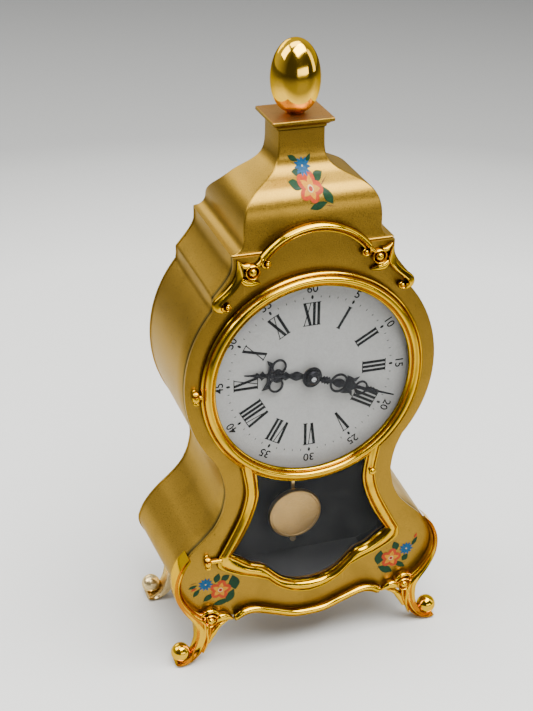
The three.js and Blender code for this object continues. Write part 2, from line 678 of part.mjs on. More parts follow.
function buildDoor() {
  const y0 = DOOR_FRONT;
  const y1 = -GAP;
  const seatR = DOOR_R_IN + GLASS_SEAT + GAP;
  const ringProfile = [
    [DOOR_R_IN, y0 + 1.4], [DOOR_R_IN + 0.8, y0 + 0.5], [DOOR_R_IN + 1.8, y0],
    [DOOR_R_IN + 2.5, y0 + 0.9], [DOOR_R_IN + 3.3, y0 + 0.7], [DOOR_R_OUT, y0 + 1.5],
    [DOOR_R_OUT, y1], [seatR, y1], [seatR, y0 + 1.9], [DOOR_R_IN, y0 + 1.9],
  ];
  const ring = turned(ringProfile, 48);
  const frameOuter = offset(pane, FRAME_WIDTH);
  const frame = cut(
    plate(frameOuter, y0 + 0.6, y1),
    plate(pane, y0 - 1, 1),
    plate(circle(DOOR_R_OUT - 0.6, 0, 0, 48), y0 - 1, 1),
    plate(offset(pane, 1), -1.6, 1),
  );
  const arms = join(hingeArm(HINGE_TOP, -DOOR_R_OUT + 0.6), hingeArm(HINGE_LOW, -27.6));
  const body = join(ring, frame, arms);
  const pinWay = (at) => along([[0, -4], [PIN_R + BORE, -4], [PIN_R + BORE, 4], [0, 4]], 14, at);
  addPart("door_frame", cut(body, pinWay(HINGE_TOP), pinWay(HINGE_LOW)), polishedGold);

  const edge = DOOR_R_IN + GLASS_SEAT;
  const sphere = (edge ** 2 + GLASS_SAG ** 2) / (2 * GLASS_SAG);
  const sag = (r) => GLASS_SAG - (sphere - Math.sqrt(sphere ** 2 - r ** 2));
  const front = [];
  const back = [];
  for (const share of [0, 0.4, 0.75, 1]) {
    const r = share * edge;
    back.push([r, -GAP - sag(r)]);
    front.push([r, -GAP - GLASS_T + GAP / 2 - sag(r)]);
  }
  addPart("dial_glass", turned([...front, ...back.reverse()], 40), glass);
  const paneEdge = offset(pane, 1 - GAP);
  const lowPane = cut(
    plate(paneEdge, -1.6 + GAP, -GAP),
    plate(circle(DOOR_R_OUT + GAP, 0, 0, 48), -5, 1),
  );
  addPart("window_glass", lowPane, glass);
  const knob = turned(
    [[0, y0 + 0.3], [0.6, y0 + 0.3], [0.6, y0 - 0.1], [1.1, y0 - 0.8], [0.6, y0 - 1.5], [0, y0 - 1.7]],
    12,
    18.5,
    -33,
  );
  addPart("door_knob", knob, polishedGold);

  addPart("upper_hinge_post", hingePost(HINGE_TOP), polishedGold);
  addPart("lower_hinge_post", hingePost(HINGE_LOW), polishedGold);
}

// ---- Dial and hands ----
const DIAL_FRONT = SHEET + GAP;
const DIAL_BACK = DIAL_FRONT + DIAL_T;
const PIPE_OUT = 2.2; // hour pipe
const MINUTE_ANGLE = (SHOWN_MINUTES / 60) * 2 * Math.PI;
const HOUR_ANGLE = ((SHOWN_HOURS + SHOWN_MINUTES / 60) / 12) * 2 * Math.PI;

function buildDial() {
  const disc = tube(PIPE_OUT + 0.6, DIAL_R, DIAL_FRONT, DIAL_BACK, 48);
  const feet = [90, 210, 330].map((deg) => {
    const a = THREE.MathUtils.degToRad(deg);
    return rod(1, DIAL_BACK - 0.2, PLATE_FRONT_Y - GAP, 10, 20 * Math.cos(a), 20 * Math.sin(a));
  });
  addPart("dial_plate", join(disc, ...feet), enamel);
}

// Hands are drawn pointing up, then turned clockwise as seen from the front.
const turnedTo = (hand, angle) => hand.rotate([0, THREE.MathUtils.radToDeg(angle), 0]);

// Half widths against shares of the hand's length.
const handOutline = (length, list) => points(list.map(([x, share]) => [x, share * length]));

function ringShape(r, width, x, z, y0, y1) {
  return tube(r - width, r, y0, y1, 12, x, z);
}

function buildHands() {
  const hourY = [0.5, 0.9];
  const l = HOUR_HAND_LENGTH;
  const hourOutline = handOutline(l, [
    [0.7, 0.1], [1.3, 0.2], [0.6, 0.32], [1.7, 0.41], [1.1, 0.46], [2.1, 0.55], [0.7, 0.69],
    [1.4, 0.75], [0.6, 0.8], [0.9, 0.86], [0.35, 1], [0, 1],
  ]);
  const hourBar = [...hourOutline, ...mirrored(hourOutline).slice(1)];
  const hourParts = [
    plate(hourBar, ...hourY),
    ringShape(2.5, 0.55, 2.5, 0.5 * l, ...hourY),
    ringShape(2.5, 0.55, -2.5, 0.5 * l, ...hourY),
    plate(handOutline(l, [[3.4, 0.6], [5, 0.72], [2.2, 0.65]]), ...hourY),
    plate(handOutline(l, [[-3.4, 0.6], [-5, 0.72], [-2.2, 0.65]]), ...hourY),
    rod(3.1, ...hourY, 20),
  ];
  const hourHand = cut(join(...hourParts), rod(1.3 + BORE, -2, 2, 16));
  addPart("hour_hand", turnedTo(hourHand, HOUR_ANGLE), blueSteel);

  const minuteY = [-0.2, 0.2];
  const m = MINUTE_HAND_LENGTH;
  const minuteOutline = handOutline(m, [
    [0.8, 0.05], [1, 0.14], [0.6, 0.18], [1.2, 0.22], [0.6, 0.37], [2.4, 0.45], [1.5, 0.53],
    [1.9, 0.58], [0.6, 0.63], [0.5, 0.72], [1.4, 0.77], [0.6, 0.81], [0.9, 0.85], [0.3, 0.89],
    [0.3, 1], [0, 1],
  ]);
  const minuteBar = [...minuteOutline, ...mirrored(minuteOutline).slice(1)];
  const minuteParts = [
    plate(minuteBar, ...minuteY),
    ringShape(2.8, 0.6, 0, 0.34 * m, ...minuteY),
    ringShape(1.9, 0.5, 0, 0.67 * m, ...minuteY),
    rod(2.9, ...minuteY, 20),
  ];
  const minuteHand = cut(join(...minuteParts), rod(CENTRE_R + BORE, -3, 2, 12));
  addPart("minute_hand", turnedTo(minuteHand, MINUTE_ANGLE), blueSteel);
  const nutBack = minuteY[0] - GAP;
  const nut = turned(
    [[CENTRE_R + BORE, nutBack], [2, nutBack], [1.7, nutBack - 0.7], [CENTRE_R + BORE, nutBack - 0.9]],
    16,
  );
  addPart("hand_nut", nut, blueSteel);
}

// ---- Gears ----
// Pointed clock teeth: radius to the pitch circle is module x teeth / 2.
function gearOutline(teeth, module, toothAt) {
  const pitch = (module * teeth) / 2;
  const tip = pitch + 0.95 * module;
  const root = pitch - 1.25 * module;
  const list = [];
  for (let i = 0; i < teeth; i++) {
    const a = toothAt + (2 * Math.PI * i) / teeth;
    const half = (0.27 * 2 * Math.PI) / teeth;
    for (const [da, r] of [[-half, root], [0, tip], [half, root]]) {
      list.push(V2(r * Math.cos(a + da), r * Math.sin(a + da)));
    }
  }
  return list;
}

const pitchR = (module, teeth) => (module * teeth) / 2;
const spacing = (module, a, b) => pitchR(module, a) + pitchR(module, b);
const bearing = (from, to) => Math.atan2(to.z - from.z, to.x - from.x);
const tipAt = (from, to) => bearing(from, to);
const gapAt = (from, to, teeth) => bearing(from, to) + Math.PI / teeth;

// The point at distance ra from a and rb from b, on the left of the line from a to b.
function reachPoint(a, ra, b, rb) {
  const dx = b.x - a.x;
  const dz = b.z - a.z;
  const d = Math.hypot(dx, dz);
  const s = (ra ** 2 - rb ** 2 + d ** 2) / (2 * d);
  const h = Math.sqrt(ra ** 2 - s ** 2);
  return { x: a.x + (s * dx - h * dz) / d, z: a.z + (s * dz + h * dx) / d };
}
const polar = (from, r, deg) => ({
  x: from.x + r * Math.cos(THREE.MathUtils.degToRad(deg)),
  z: from.z + r * Math.sin(THREE.MathUtils.degToRad(deg)),
});

// Tooth counts and modules of each pair, wheel first.
const MESH = {
  great: { wheel: 54, pinion: 9, module: 0.4 },
  intermediate: { wheel: 56, pinion: 8, module: 0.3 },
  centre: { wheel: 60, pinion: 8, module: 0.28 },
  third: { wheel: 56, pinion: 7, module: 0.28 },
  fourth: { wheel: 48, pinion: 6, module: 0.27 },
  minute: { wheel: 30, pinion: 10, module: 0.5 },
  hour: { wheel: 32, pinion: 8, module: 0.5 },
};
const reachOf = (m) => spacing(m.module, m.wheel, m.pinion);

const CENTRE = { x: 0, z: 0 };
const BARREL = polar(CENTRE, reachOf(MESH.great), 126.5);
const INTERMEDIATE = reachPoint(CENTRE, reachOf(MESH.intermediate), BARREL, reachOf(MESH.great));
const THIRD = polar(CENTRE, reachOf(MESH.centre), -33.4);
const FOURTH = polar(THIRD, reachOf(MESH.third), -124.4);
const ESCAPE = polar(FOURTH, reachOf(MESH.fourth), -167.3);
const PALLET = polar(ESCAPE, 7.1, 165);
const BALANCE = polar(PALLET, 6.2, 155);
const MINUTE_WHEEL = polar(CENTRE, reachOf(MESH.minute), 205);

const PLATE_IN = PLATE_FRONT_Y + PLATE_T; // inner face of the front plate
const PLATE_OUT = PLATE_IN + PLATE_SPACE; // inner face of the rear plate
const PLATE_END = PLATE_OUT + PLATE_T;

// Where each wheel sits between the plates.
const LEVEL = {
  great: PLATE_IN + 0.6,
  drum: PLATE_IN + 1.8,
  drumTop: PLATE_IN + 6.2,
  intermediate: PLATE_IN + 6.7,
  centre: PLATE_IN + 8.3,
  third: PLATE_IN + 5.1,
  fourth: PLATE_IN + 2.7,
  escape: PLATE_IN + 0.8,
};
const wheelSlab = (outline, y, t = WHEEL_T) => plate(outline, y, y + t);
const pinionSlab = (outline, y) => plate(outline, y - 0.3, y + WHEEL_T + 0.3);
const moved = (body, at) => body.translate([at.x, 0, at.z]);
const arbor = (y0 = PLATE_IN + GAP, y1 = PLATE_OUT - GAP) => rod(ARBOR_R, y0, y1, 8);

function buildPlates(movement) {
  const pillars = [polar(CENTRE, 23, 85), polar(CENTRE, 22.6, 178), polar(CENTRE, 23, -55)];
  const screwR = 0.8;
  const holes = pillars.map((p) => rod(screwR + BORE, 0, 60, 10, p.x, p.z));
  const centreHole = rod(CENTRE_R + BORE, 0, 60, 12);
  const windingHole = rod(1.5 + BORE, PLATE_OUT - 1, 60, 14, BARREL.x, BARREL.z);
  const front = rod(PLATE_R, PLATE_FRONT_Y, PLATE_IN, 36);
  const rear = rod(PLATE_R, PLATE_OUT, PLATE_END, 36);
  addPart("movement_front_plate", cut(front, centreHole, ...holes), brass, movement);
  addPart("movement_rear_plate", cut(rear, centreHole, windingHole, ...holes), brass, movement);
  pillars.forEach((p, i) => {
    const pillar = join(
      rod(PILLAR_R, PLATE_IN + GAP, PLATE_OUT - GAP, 12),
      rod(screwR, PLATE_FRONT_Y - 0.3, PLATE_END + 0.5, 8),
    );
    addPart(`movement_pillar_${i + 1}`, moved(pillar, p), steel, movement);
  });
}

function buildTrain(movement) {
  const { great, intermediate, centre, third, fourth } = MESH;
  const drum = turned(
    [[1.5 + BORE, LEVEL.great + WHEEL_T], [10, LEVEL.great + WHEEL_T], [10, LEVEL.drumTop],
      [9.3, LEVEL.drumTop], [9.3, LEVEL.drum + 0.6], [1.5 + BORE, LEVEL.drum + 0.6]],
    28,
  );
  const greatTeeth = wheelSlab(
    gearOutline(great.wheel, great.module, tipAt(BARREL, INTERMEDIATE)),
    LEVEL.great,
    WHEEL_T + 0.1,
  );
  const barrel = cut(join(drum, greatTeeth), rod(1.5 + BORE, 0, 40, 14));
  addPart("mainspring_barrel", moved(barrel, BARREL), brass, movement);

  const coil = spiral(0, 0, 2.6, 8.4, 0, 360 * 4, 56);
  const spring = plate(ribbon(coil, 0.45), LEVEL.drum + 1, LEVEL.drumTop - 0.3);
  addPart("mainspring", moved(spring, BARREL), steel, movement);

  const intermediateWheel = join(
    pinionSlab(
      gearOutline(great.pinion, great.module, gapAt(INTERMEDIATE, BARREL, great.pinion)),
      LEVEL.great,
    ),
    wheelSlab(
      gearOutline(intermediate.wheel, intermediate.module, tipAt(INTERMEDIATE, CENTRE)),
      LEVEL.intermediate,
    ),
    arbor(),
  );
  addPart("intermediate_wheel", moved(intermediateWheel, INTERMEDIATE), brass, movement);

  const centrePinion = pinionSlab(
    gearOutline(intermediate.pinion, intermediate.module, gapAt(CENTRE, INTERMEDIATE, intermediate.pinion)),
    LEVEL.intermediate,
  );
  const centreTeeth = wheelSlab(
    gearOutline(centre.wheel, centre.module, tipAt(CENTRE, THIRD)),
    LEVEL.centre,
  );
  const hub = rod(1.6, LEVEL.intermediate + WHEEL_T + GAP, LEVEL.centre + 0.1, 12);
  const centreWheel = cut(join(centrePinion, centreTeeth, hub), rod(CENTRE_BORE, 0, 40, 12));
  addPart("centre_wheel", centreWheel, brass, movement);

  const thirdWheel = join(
    pinionSlab(gearOutline(centre.pinion, centre.module, gapAt(THIRD, CENTRE, centre.pinion)), LEVEL.centre),
    wheelSlab(gearOutline(third.wheel, third.module, tipAt(THIRD, FOURTH)), LEVEL.third),
    arbor(),
  );
  addPart("third_wheel", moved(thirdWheel, THIRD), brass, movement);

  const fourthWheel = join(
    pinionSlab(gearOutline(third.pinion, third.module, gapAt(FOURTH, THIRD, third.pinion)), LEVEL.third),
    wheelSlab(gearOutline(fourth.wheel, fourth.module, tipAt(FOURTH, ESCAPE)), LEVEL.fourth),
    arbor(),
  );
  addPart("fourth_wheel", moved(fourthWheel, FOURTH), brass, movement);
}

const ESCAPE_TEETH = 15;
const ESCAPE_R = 4.4;
const CENTRE_BORE = 0.85; // the thin part of the centre arbor under the train wheel

function buildEscapement(movement) {
  const { fourth } = MESH;
  const outline = [];
  for (let i = 0; i < ESCAPE_TEETH; i++) {
    const a = (2 * Math.PI * i) / ESCAPE_TEETH;
    const pitch = (2 * Math.PI) / ESCAPE_TEETH;
    for (const [share, depth] of [[0, 0], [0.3, 0.4], [0.42, 1.6], [0.95, 1.6]]) {
      const r = ESCAPE_R - depth;
      outline.push(V2(r * Math.cos(a + share * pitch), r * Math.sin(a + share * pitch)));
    }
  }
  const wheel = join(
    wheelSlab(outline, LEVEL.escape, 0.6),
    pinionSlab(gearOutline(fourth.pinion, fourth.module, gapAt(ESCAPE, FOURTH, fourth.pinion)), LEVEL.fourth),
    arbor(),
  );
  addPart("escape_wheel", moved(wheel, ESCAPE), brass, movement);

  // The lever: a bar across the line to the escape wheel with two pins, and a tail to the balance.
  const toEscape = bearing(PALLET, ESCAPE);
  const toBalance = bearing(PALLET, BALANCE);
  const armY = LEVEL.escape + 0.6 + GAP;
  const tips = [40, -40].map((deg) => polar(CENTRE, 3.4, THREE.MathUtils.radToDeg(toEscape) + deg));
  const tail = polar(CENTRE, 3.6, THREE.MathUtils.radToDeg(toBalance));
  const bar = (p) => plate(ribbon([V2(0, 0), V2(p.x, p.z)], 0.8), armY, armY + 0.6);
  const lever = join(
    rod(0.9, armY, armY + 0.6, 10),
    ...tips.map(bar),
    ...tips.map((p) => rod(0.3, LEVEL.escape - 0.2, armY + 0.3, 8, p.x, p.z)),
    bar(tail),
    arbor(),
  );
  addPart("pallet_lever", moved(lever, PALLET), steel, movement);

  const rimY = PLATE_IN + 3.6;
  const balance = join(
    tube(4.4, 5.3, rimY, rimY + 1, 28),
    solid(new THREE.BoxGeometry(9.6, 0.6, 1).translate(0, rimY + 0.5, 0)),
    rod(0.9, rimY - 0.3, rimY + 1.3, 10),
    arbor(),
  );
  addPart("balance_wheel", moved(balance, BALANCE), brass, movement);
  const coil = spiral(0, 0, 1.1, 3.9, 0, 360 * 3, 42);
  const hairspring = plate(ribbon(coil, 0.28), rimY + 1.9, rimY + 2.4);
  addPart("hairspring", moved(hairspring, BALANCE), blueSteel, movement);
}

// ---- Motion works, hand setting and winding ----
const MOTION_Y = { hour: DIAL_BACK + 0.5, minute: PLATE_FRONT_Y - 0.4 - WHEEL_T };
const SET_KNOB = { y0: PLATE_END + 3.2, y1: PLATE_END + 7.4, r: 3.8 };
const KEY = { y0: PLATE_END + 2.4, neck: PLATE_END + 6.4, y1: CASE_BACK - 5, half: 7.6 };
const RATCHET_R = 4;

function buildMotion(movement) {
  const { minute, hour } = MESH;
  const cannon = plate(
    gearOutline(minute.pinion, minute.module, gapAt(CENTRE, MINUTE_WHEEL, minute.pinion)),
    MOTION_Y.minute - 0.2,
    PLATE_FRONT_Y - GAP,
  );
  const centreArbor = join(
    rod(CENTRE_R, -1.6, PLATE_IN + 1, 12),
    rod(1.3, 0.5, PLATE_FRONT_Y - 0.6, 14),
    rod(CENTRE_BORE - BORE, PLATE_IN, PLATE_END + 3.4, 10),
    cannon,
  );
  addPart("centre_arbor", centreArbor, steel, movement);

  const hourTeeth = wheelSlab(
    gearOutline(hour.wheel, hour.module, gapAt(CENTRE, MINUTE_WHEEL, hour.wheel)),
    MOTION_Y.hour,
    0.7,
  );
  const pipe = rod(PIPE_OUT, 1.2, MOTION_Y.hour + 0.7, 18);
  const hourWheel = cut(join(hourTeeth, pipe), rod(1.3 + BORE, -3, 10, 14));
  addPart("hour_wheel", hourWheel, brass, movement);

  const minuteWheel = join(
    plate(
      gearOutline(minute.wheel, minute.module, tipAt(MINUTE_WHEEL, CENTRE)),
      MOTION_Y.minute,
      MOTION_Y.minute + WHEEL_T,
    ),
    plate(
      gearOutline(hour.pinion, hour.module, tipAt(MINUTE_WHEEL, CENTRE)),
      DIAL_BACK + GAP,
      MOTION_Y.minute + 0.2,
    ),
  );
  addPart("minute_wheel", moved(minuteWheel, MINUTE_WHEEL), brass, movement);

  const { y0, y1, r } = SET_KNOB;
  const knurl = gearOutline(20, (2 * (r - 0.1)) / 20, 0);
  const knob = cut(
    join(plate(knurl, y0 + 0.6, y1), rod(r - 0.9, y0, y1 + 0.4, 20)),
    rod(CENTRE_BORE, y0 - 1, y0 + 2, 12),
  );
  addPart("set_knob", knob, brass, movement);
}

function buildWinding(movement) {
  const ratchet = [];
  const teeth = 16;
  for (let i = 0; i < teeth; i++) {
    for (const [share, r] of [[0, RATCHET_R], [0.9, RATCHET_R - 0.8]]) {
      const a = (2 * Math.PI * (i + share)) / teeth;
      ratchet.push(V2(r * Math.cos(a), r * Math.sin(a)));
    }
  }
  const ratchetY = PLATE_END + GAP;
  const square = circle(1.1, 0, 0, 4);
  const windingArbor = join(
    rod(1.5, LEVEL.great + 0.2, ratchetY + 0.2, 14),
    plate(ratchet, ratchetY, ratchetY + 0.8),
    plate(square, ratchetY, KEY.neck - 1),
  );
  addPart("winding_arbor", moved(windingArbor, BARREL), steel, movement);

  const { neck, y1, half } = KEY;
  const bow = [
    ...smooth([[1.6, neck - 1], [2.4, neck], [half - 1, neck + 0.8], [half, neck + 4]], 7),
    ...smooth([[half - 1, y1 - 1.4], [4.6, y1], [1.6, y1 - 2.4], [0, y1 - 3]], 7),
  ];
  const wing = new THREE.Shape(counterClockwise([...bow, ...mirrored(bow).slice(1)]));
  const wingHoles = [1, -1].map((s) => circle(1.5, s * 4.6, KEY.neck + 4.6, 12).reverse());
  for (const hole of wingHoles) wing.holes.push(new THREE.Path(hole));
  const wings = solid(
    new THREE.ExtrudeGeometry(wing, { depth: 1.4, bevelEnabled: false, steps: 1 }).translate(0, 0, -0.7),
  );
  const hub = rod(2.4, KEY.y0, KEY.neck + 0.6, 16);
  const keyHole = plate(circle(1.1 + 2 * BORE, 0, 0, 4), KEY.y0 - 1, KEY.neck - 0.6);
  const key = cut(join(hub, wings), keyHole).rotate([0, 35, 0]);
  addPart("winding_key", moved(key, BARREL), brass, movement);

  const clickAt = polar(BARREL, RATCHET_R + 3.4, 175);
  const tip = polar(BARREL, RATCHET_R + 0.6, 205);
  const click = join(
    rod(1.2, ratchetY, ratchetY + 0.8, 12, clickAt.x, clickAt.z),
    plate(ribbon([V2(clickAt.x, clickAt.z), V2(tip.x, tip.z)], 0.9), ratchetY, ratchetY + 0.8),
  );
  addPart("winding_click", click, steel, movement);
}

// ---- Pendulum and its dark chamber ----
function buildPendulum() {
  const rodY = [BOB_Y + BOB_T + GAP, BOB_Y + BOB_T + GAP + 0.6];
  const eye = tube(PIN_R + 0.2 + BORE, 1.8, ...rodY, 16, 0, SWING_Z);
  const stripHalf = points([[0.5, SWING_Z - 1.2], [0.5, BOB_Z - BOB_R - 2.6]]);
  const strip = plate([...stripHalf, ...mirrored(stripHalf)], ...rodY);
  const nut = rod(1, rodY[0] - 0.8, rodY[1], 12, 0, BOB_Z - BOB_R - 1.6);
  const bored = cut(join(eye, strip, nut), rod(PIN_R + 0.2 + BORE, 0, 40, 16, 0, SWING_Z));
  addPart("pendulum_rod", bored, brass);
  const bob = turned(
    [[0, BOB_Y], [BOB_R * 0.6, BOB_Y + 0.25], [BOB_R - 0.3, BOB_Y + 0.9], [BOB_R, BOB_Y + 1.3],
      [BOB_R - 0.3, BOB_Y + BOB_T], [0, BOB_Y + BOB_T]],
    36,
    0,
    BOB_Z,
  );
  addPart("pendulum_bob", bob, bobGold);
  const cockY = PLATE_END + GAP;
  const tabHalf = points([[3, SWING_Z + 9], [3, SWING_Z + 4], [1.6, SWING_Z - 1.6]]);
  const tab = plate([...tabHalf, ...mirrored(tabHalf)], cockY, cockY + 0.8);
  const pin = rod(PIN_R + 0.2, rodY[0] - 0.8, cockY + 0.4, 10, 0, SWING_Z);
  addPart("pendulum_cock", join(tab, pin), brass);
}

function buildLiner() {
  const front = SHELL_FRONT;
  const back = PLATE_END + GAP + 3;
  const half = points([
    [23.9, -31], [23.9, -38], [26.6, -45], [31.5, -53.5], [33.4, -60], [31.5, -71.5], [24, -74.5],
  ]);
  const outer = [...half, ...mirrored(half)];
  const inner = offset(counterClockwise(outer), -0.6);
  const top = -31;
  const trough = cut(
    plate(outer, front, back),
    plate(inner, front - 1, back - 0.6),
    plate(points([[-23, top - 0.9], [23, top - 0.9], [23, top + 2], [-23, top + 2]]), front - 1, back - 0.6),
    plate(circle(PLATE_R + 1, 0, 0, 36), front - 1, PLATE_END + 2.4),
    plate(circle(DIAL_R + GAP, 0, 0, 48), 0, DIAL_BACK + GAP),
  );
  const kept = trough.decompose().sort((a, b) => b.volume() - a.volume())[0];
  addPart("chamber_liner", kept, blackCard);
}

// ---- Assembly ----
buildPanel();
buildShell();
buildRoof();
buildBack();
buildMouldings();
buildFeet();
buildDecals();
buildDoor();
buildDial();
buildHands();
const movement = new THREE.Group();
clock.add(movement);
buildPlates(movement);
buildTrain(movement);
buildEscapement(movement);
buildMotion(movement);
buildWinding(movement);
buildPendulum();
buildLiner();

// Stand the clock on z = 0 with the middle of its depth at y = 0.
const box = new THREE.Box3().setFromObject(clock);
clock.position.set(0, -(box.min.y + box.max.y) / 2, DIAL_HEIGHT);

export default clock;
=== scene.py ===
"""A small gilt mantel clock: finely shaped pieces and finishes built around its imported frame.

All shaping is done in millimetres from the middle of the dial, x to the right, y to the back from
the front panel's face and z up; settle() then puts each piece in the frame's own metres.
"""
import json
import math

import bpy
from mathutils import Matrix, Vector


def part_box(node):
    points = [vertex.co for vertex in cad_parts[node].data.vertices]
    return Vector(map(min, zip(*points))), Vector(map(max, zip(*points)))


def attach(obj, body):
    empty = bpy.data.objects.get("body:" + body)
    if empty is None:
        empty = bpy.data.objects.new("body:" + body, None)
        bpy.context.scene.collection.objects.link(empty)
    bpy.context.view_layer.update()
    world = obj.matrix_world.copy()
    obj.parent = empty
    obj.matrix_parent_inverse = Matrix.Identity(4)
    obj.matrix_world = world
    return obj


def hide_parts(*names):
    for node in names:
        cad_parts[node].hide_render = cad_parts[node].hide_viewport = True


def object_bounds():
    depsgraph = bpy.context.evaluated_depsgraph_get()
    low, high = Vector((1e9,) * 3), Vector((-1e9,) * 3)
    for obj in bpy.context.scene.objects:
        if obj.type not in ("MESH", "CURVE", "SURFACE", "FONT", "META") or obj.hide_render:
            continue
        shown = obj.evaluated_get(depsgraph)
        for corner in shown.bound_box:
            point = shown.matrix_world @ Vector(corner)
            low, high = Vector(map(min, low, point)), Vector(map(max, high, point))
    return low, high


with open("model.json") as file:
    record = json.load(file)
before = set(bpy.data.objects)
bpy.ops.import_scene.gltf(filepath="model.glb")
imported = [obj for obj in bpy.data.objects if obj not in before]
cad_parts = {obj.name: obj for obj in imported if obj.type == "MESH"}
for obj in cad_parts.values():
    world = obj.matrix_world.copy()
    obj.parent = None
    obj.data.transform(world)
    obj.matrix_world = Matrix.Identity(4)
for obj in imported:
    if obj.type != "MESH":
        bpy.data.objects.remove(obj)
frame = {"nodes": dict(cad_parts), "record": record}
CAD_BOX = [list(corner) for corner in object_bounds()]

bl_info = {
    "name": "Mantel clock",
    "version": (1, 0, 0),
    "blender": (4, 5, 0),
    "location": "View3D > Sidebar > Clock",
    "description": "Builds a small gilt mantel clock piece by piece",
    "category": "Object",
}

MM = 0.001
DIAL_LOW, DIAL_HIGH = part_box("dial_plate")
FACE_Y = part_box("front_panel")[0][1]
PLACE = Matrix.Translation((0, FACE_Y, (DIAL_LOW[2] + DIAL_HIGH[2]) / 2)) @ Matrix.Scale(MM, 4)
FLOOR = -PLACE.translation.z / MM

# Fixed places on the case, in millimetres from the middle of the dial.
SHELL_FRONT = 1.5
CASE_BACK = 40.0
LEDGE = (23.8, 40.5)  # where the roof stands on the case: half width and height
HIP_FLARE = 2.15  # spread of the hips at the back, at their widest place
HIP_TOP, HIP_REACH, HIP_HALF = -35, 29, 41.6
HOOD_HALF = 20.4
COVE = (23.6, 44.2, 3.2)  # middle and radius of the cove under the roof
CAP_HALF, CAP_DEPTH = 9.05, 8.1
EGG_SEAT = 74.0
DIAL_HOLE = 31
RING_SEAT = 33.6  # radius at which the window starts below the dial ring
PANE_PLAY = 0.6
ROOF_Y = (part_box("cap_plate")[0][1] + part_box("cap_plate")[1][1] - 2 * FACE_Y) / 2 / MM
BACK = -0.3  # rear face of everything applied to the front
BACK_SCREWS = ((19.4, 36), (-19.4, 36), (33, -68), (-33, -68))
SEAM = 0.002  # points nearer than this are one
HOURS, MINUTES = 9, 18.5
HOUR_ANGLE = math.radians(360 * (HOURS + MINUTES / 60) / 12)
MINUTE_ANGLE = math.radians(360 * MINUTES / 60)
HAND_WIDTH = Matrix.Scale(1.12, 4, (1, 0, 0))


# ---- Sizes and colours ----
class CaseSizes(bpy.types.PropertyGroup):
    """Sizes of the sheet-metal case"""
    wall: bpy.props.FloatProperty(
        name="Wall", description="Thickness of the case sheet", default=1.2 * MM, unit="LENGTH")
    edge: bpy.props.FloatProperty(
        name="Edge", description="Rounding of the sheet's edges", default=0.16 * MM, unit="LENGTH")
    corner: bpy.props.FloatProperty(
        name="Roof corner", description="Rounding of the roof's upright corners",
        default=0.55 * MM, unit="LENGTH")
    egg_radius: bpy.props.FloatProperty(
        name="Egg radius", description="Widest radius of the finial", default=7.05 * MM,
        unit="LENGTH")
    egg_top: bpy.props.FloatProperty(
        name="Egg top", description="Top of the finial above the dial's middle",
        default=94.74 * MM, unit="LENGTH")


class MouldingSizes(bpy.types.PropertyGroup):
    """Sizes of the gilt mouldings"""
    bead: bpy.props.FloatProperty(
        name="Bead", description="Width of the arch and apron beads", default=2.7 * MM,
        unit="LENGTH")
    boss: bpy.props.FloatProperty(
        name="Boss", description="Radius of the round bosses", default=2.15 * MM, unit="LENGTH")
    ball: bpy.props.FloatProperty(
        name="Ball", description="Radius of the balls on the feet", default=3.0 * MM,
        unit="LENGTH")


class DialSizes(bpy.types.PropertyGroup):
    """Sizes of the dial's printing"""
    dot_radius: bpy.props.FloatProperty(
        name="Minute track", description="Radius of the minute dots", default=25 * MM,
        unit="LENGTH")
    figure_low: bpy.props.FloatProperty(
        name="Hours, inner", description="Inner radius of the hour numerals", default=16 * MM,
        unit="LENGTH")
    figure_high: bpy.props.FloatProperty(
        name="Hours, outer", description="Outer radius of the hour numerals",
        default=23.4 * MM, unit="LENGTH")
    minute_height: bpy.props.FloatProperty(
        name="Minute figures", description="Type size of the minute figures",
        default=3.5 * MM, unit="LENGTH")


def colour_property(name, description, default):
    """A colour that the sidebar lists."""
    return bpy.props.FloatVectorProperty(
        name=name, description=description, default=default, subtype="COLOR", size=3,
        min=0, max=1)


class Finishes(bpy.types.PropertyGroup):
    """Colours of the finishes"""
    paint: colour_property("Case paint", "Satin gold paint", (0.27, 0.155, 0.016))
    gilt: colour_property("Gilt", "Polished mouldings", (0.64, 0.375, 0.004))
    brass: colour_property("Brass", "Movement plates and wheels", (0.72, 0.52, 0.22))
    face: colour_property("Dial", "Silvered dial", (0.36, 0.36, 0.347))
    ink: colour_property("Ink", "Printing on the dial", (0.004, 0.004, 0.005))
    bob: colour_property("Bob", "Pendulum bob", (0.50, 0.32, 0.115))
    stage: colour_property("Stage", "Floor", (0.56, 0.56, 0.54))


# ---- Lines ----
def smooth(points, steps):
    """A smooth curve through a few chosen points."""
    last = len(points) - 1
    line = []
    for i in range(steps + 1):
        place = min(i / steps * last, last - 1e-9)
        k = int(place)
        t = place - k
        four = (points[max(k - 1, 0)], points[k], points[k + 1], points[min(k + 2, last)])
        line.append(tuple(
            b + 0.5 * t * (c - a + t * (2 * a - 5 * b + 4 * c - d + t * (3 * (b - c) + d - a)))
            for a, b, c, d in zip(*four)))
    return line


def arc(x, z, radius, start, end, steps):
    """Points round a circle between two angles in degrees."""
    angles = (math.radians(start + (end - start) * i / steps) for i in range(steps + 1))
    return [(x + radius * math.cos(a), z + radius * math.sin(a)) for a in angles]


def mirrored(line):
    """The line's left-hand twin, in the order that goes on round the outline."""
    return [(-x, z) for x, z in reversed(line)]


def moved_sideways(line, distance):
    """The line moved to its left at every point; distance may be a list."""
    out = []
    for i, (x, z) in enumerate(line):
        x0, z0 = line[max(i - 1, 0)]
        x1, z1 = line[min(i + 1, len(line) - 1)]
        length = math.hypot(x1 - x0, z1 - z0) or 1
        d = distance[i] if isinstance(distance, list) else distance
        out.append((x - d * (z1 - z0) / length, z + d * (x1 - x0) / length))
    return out


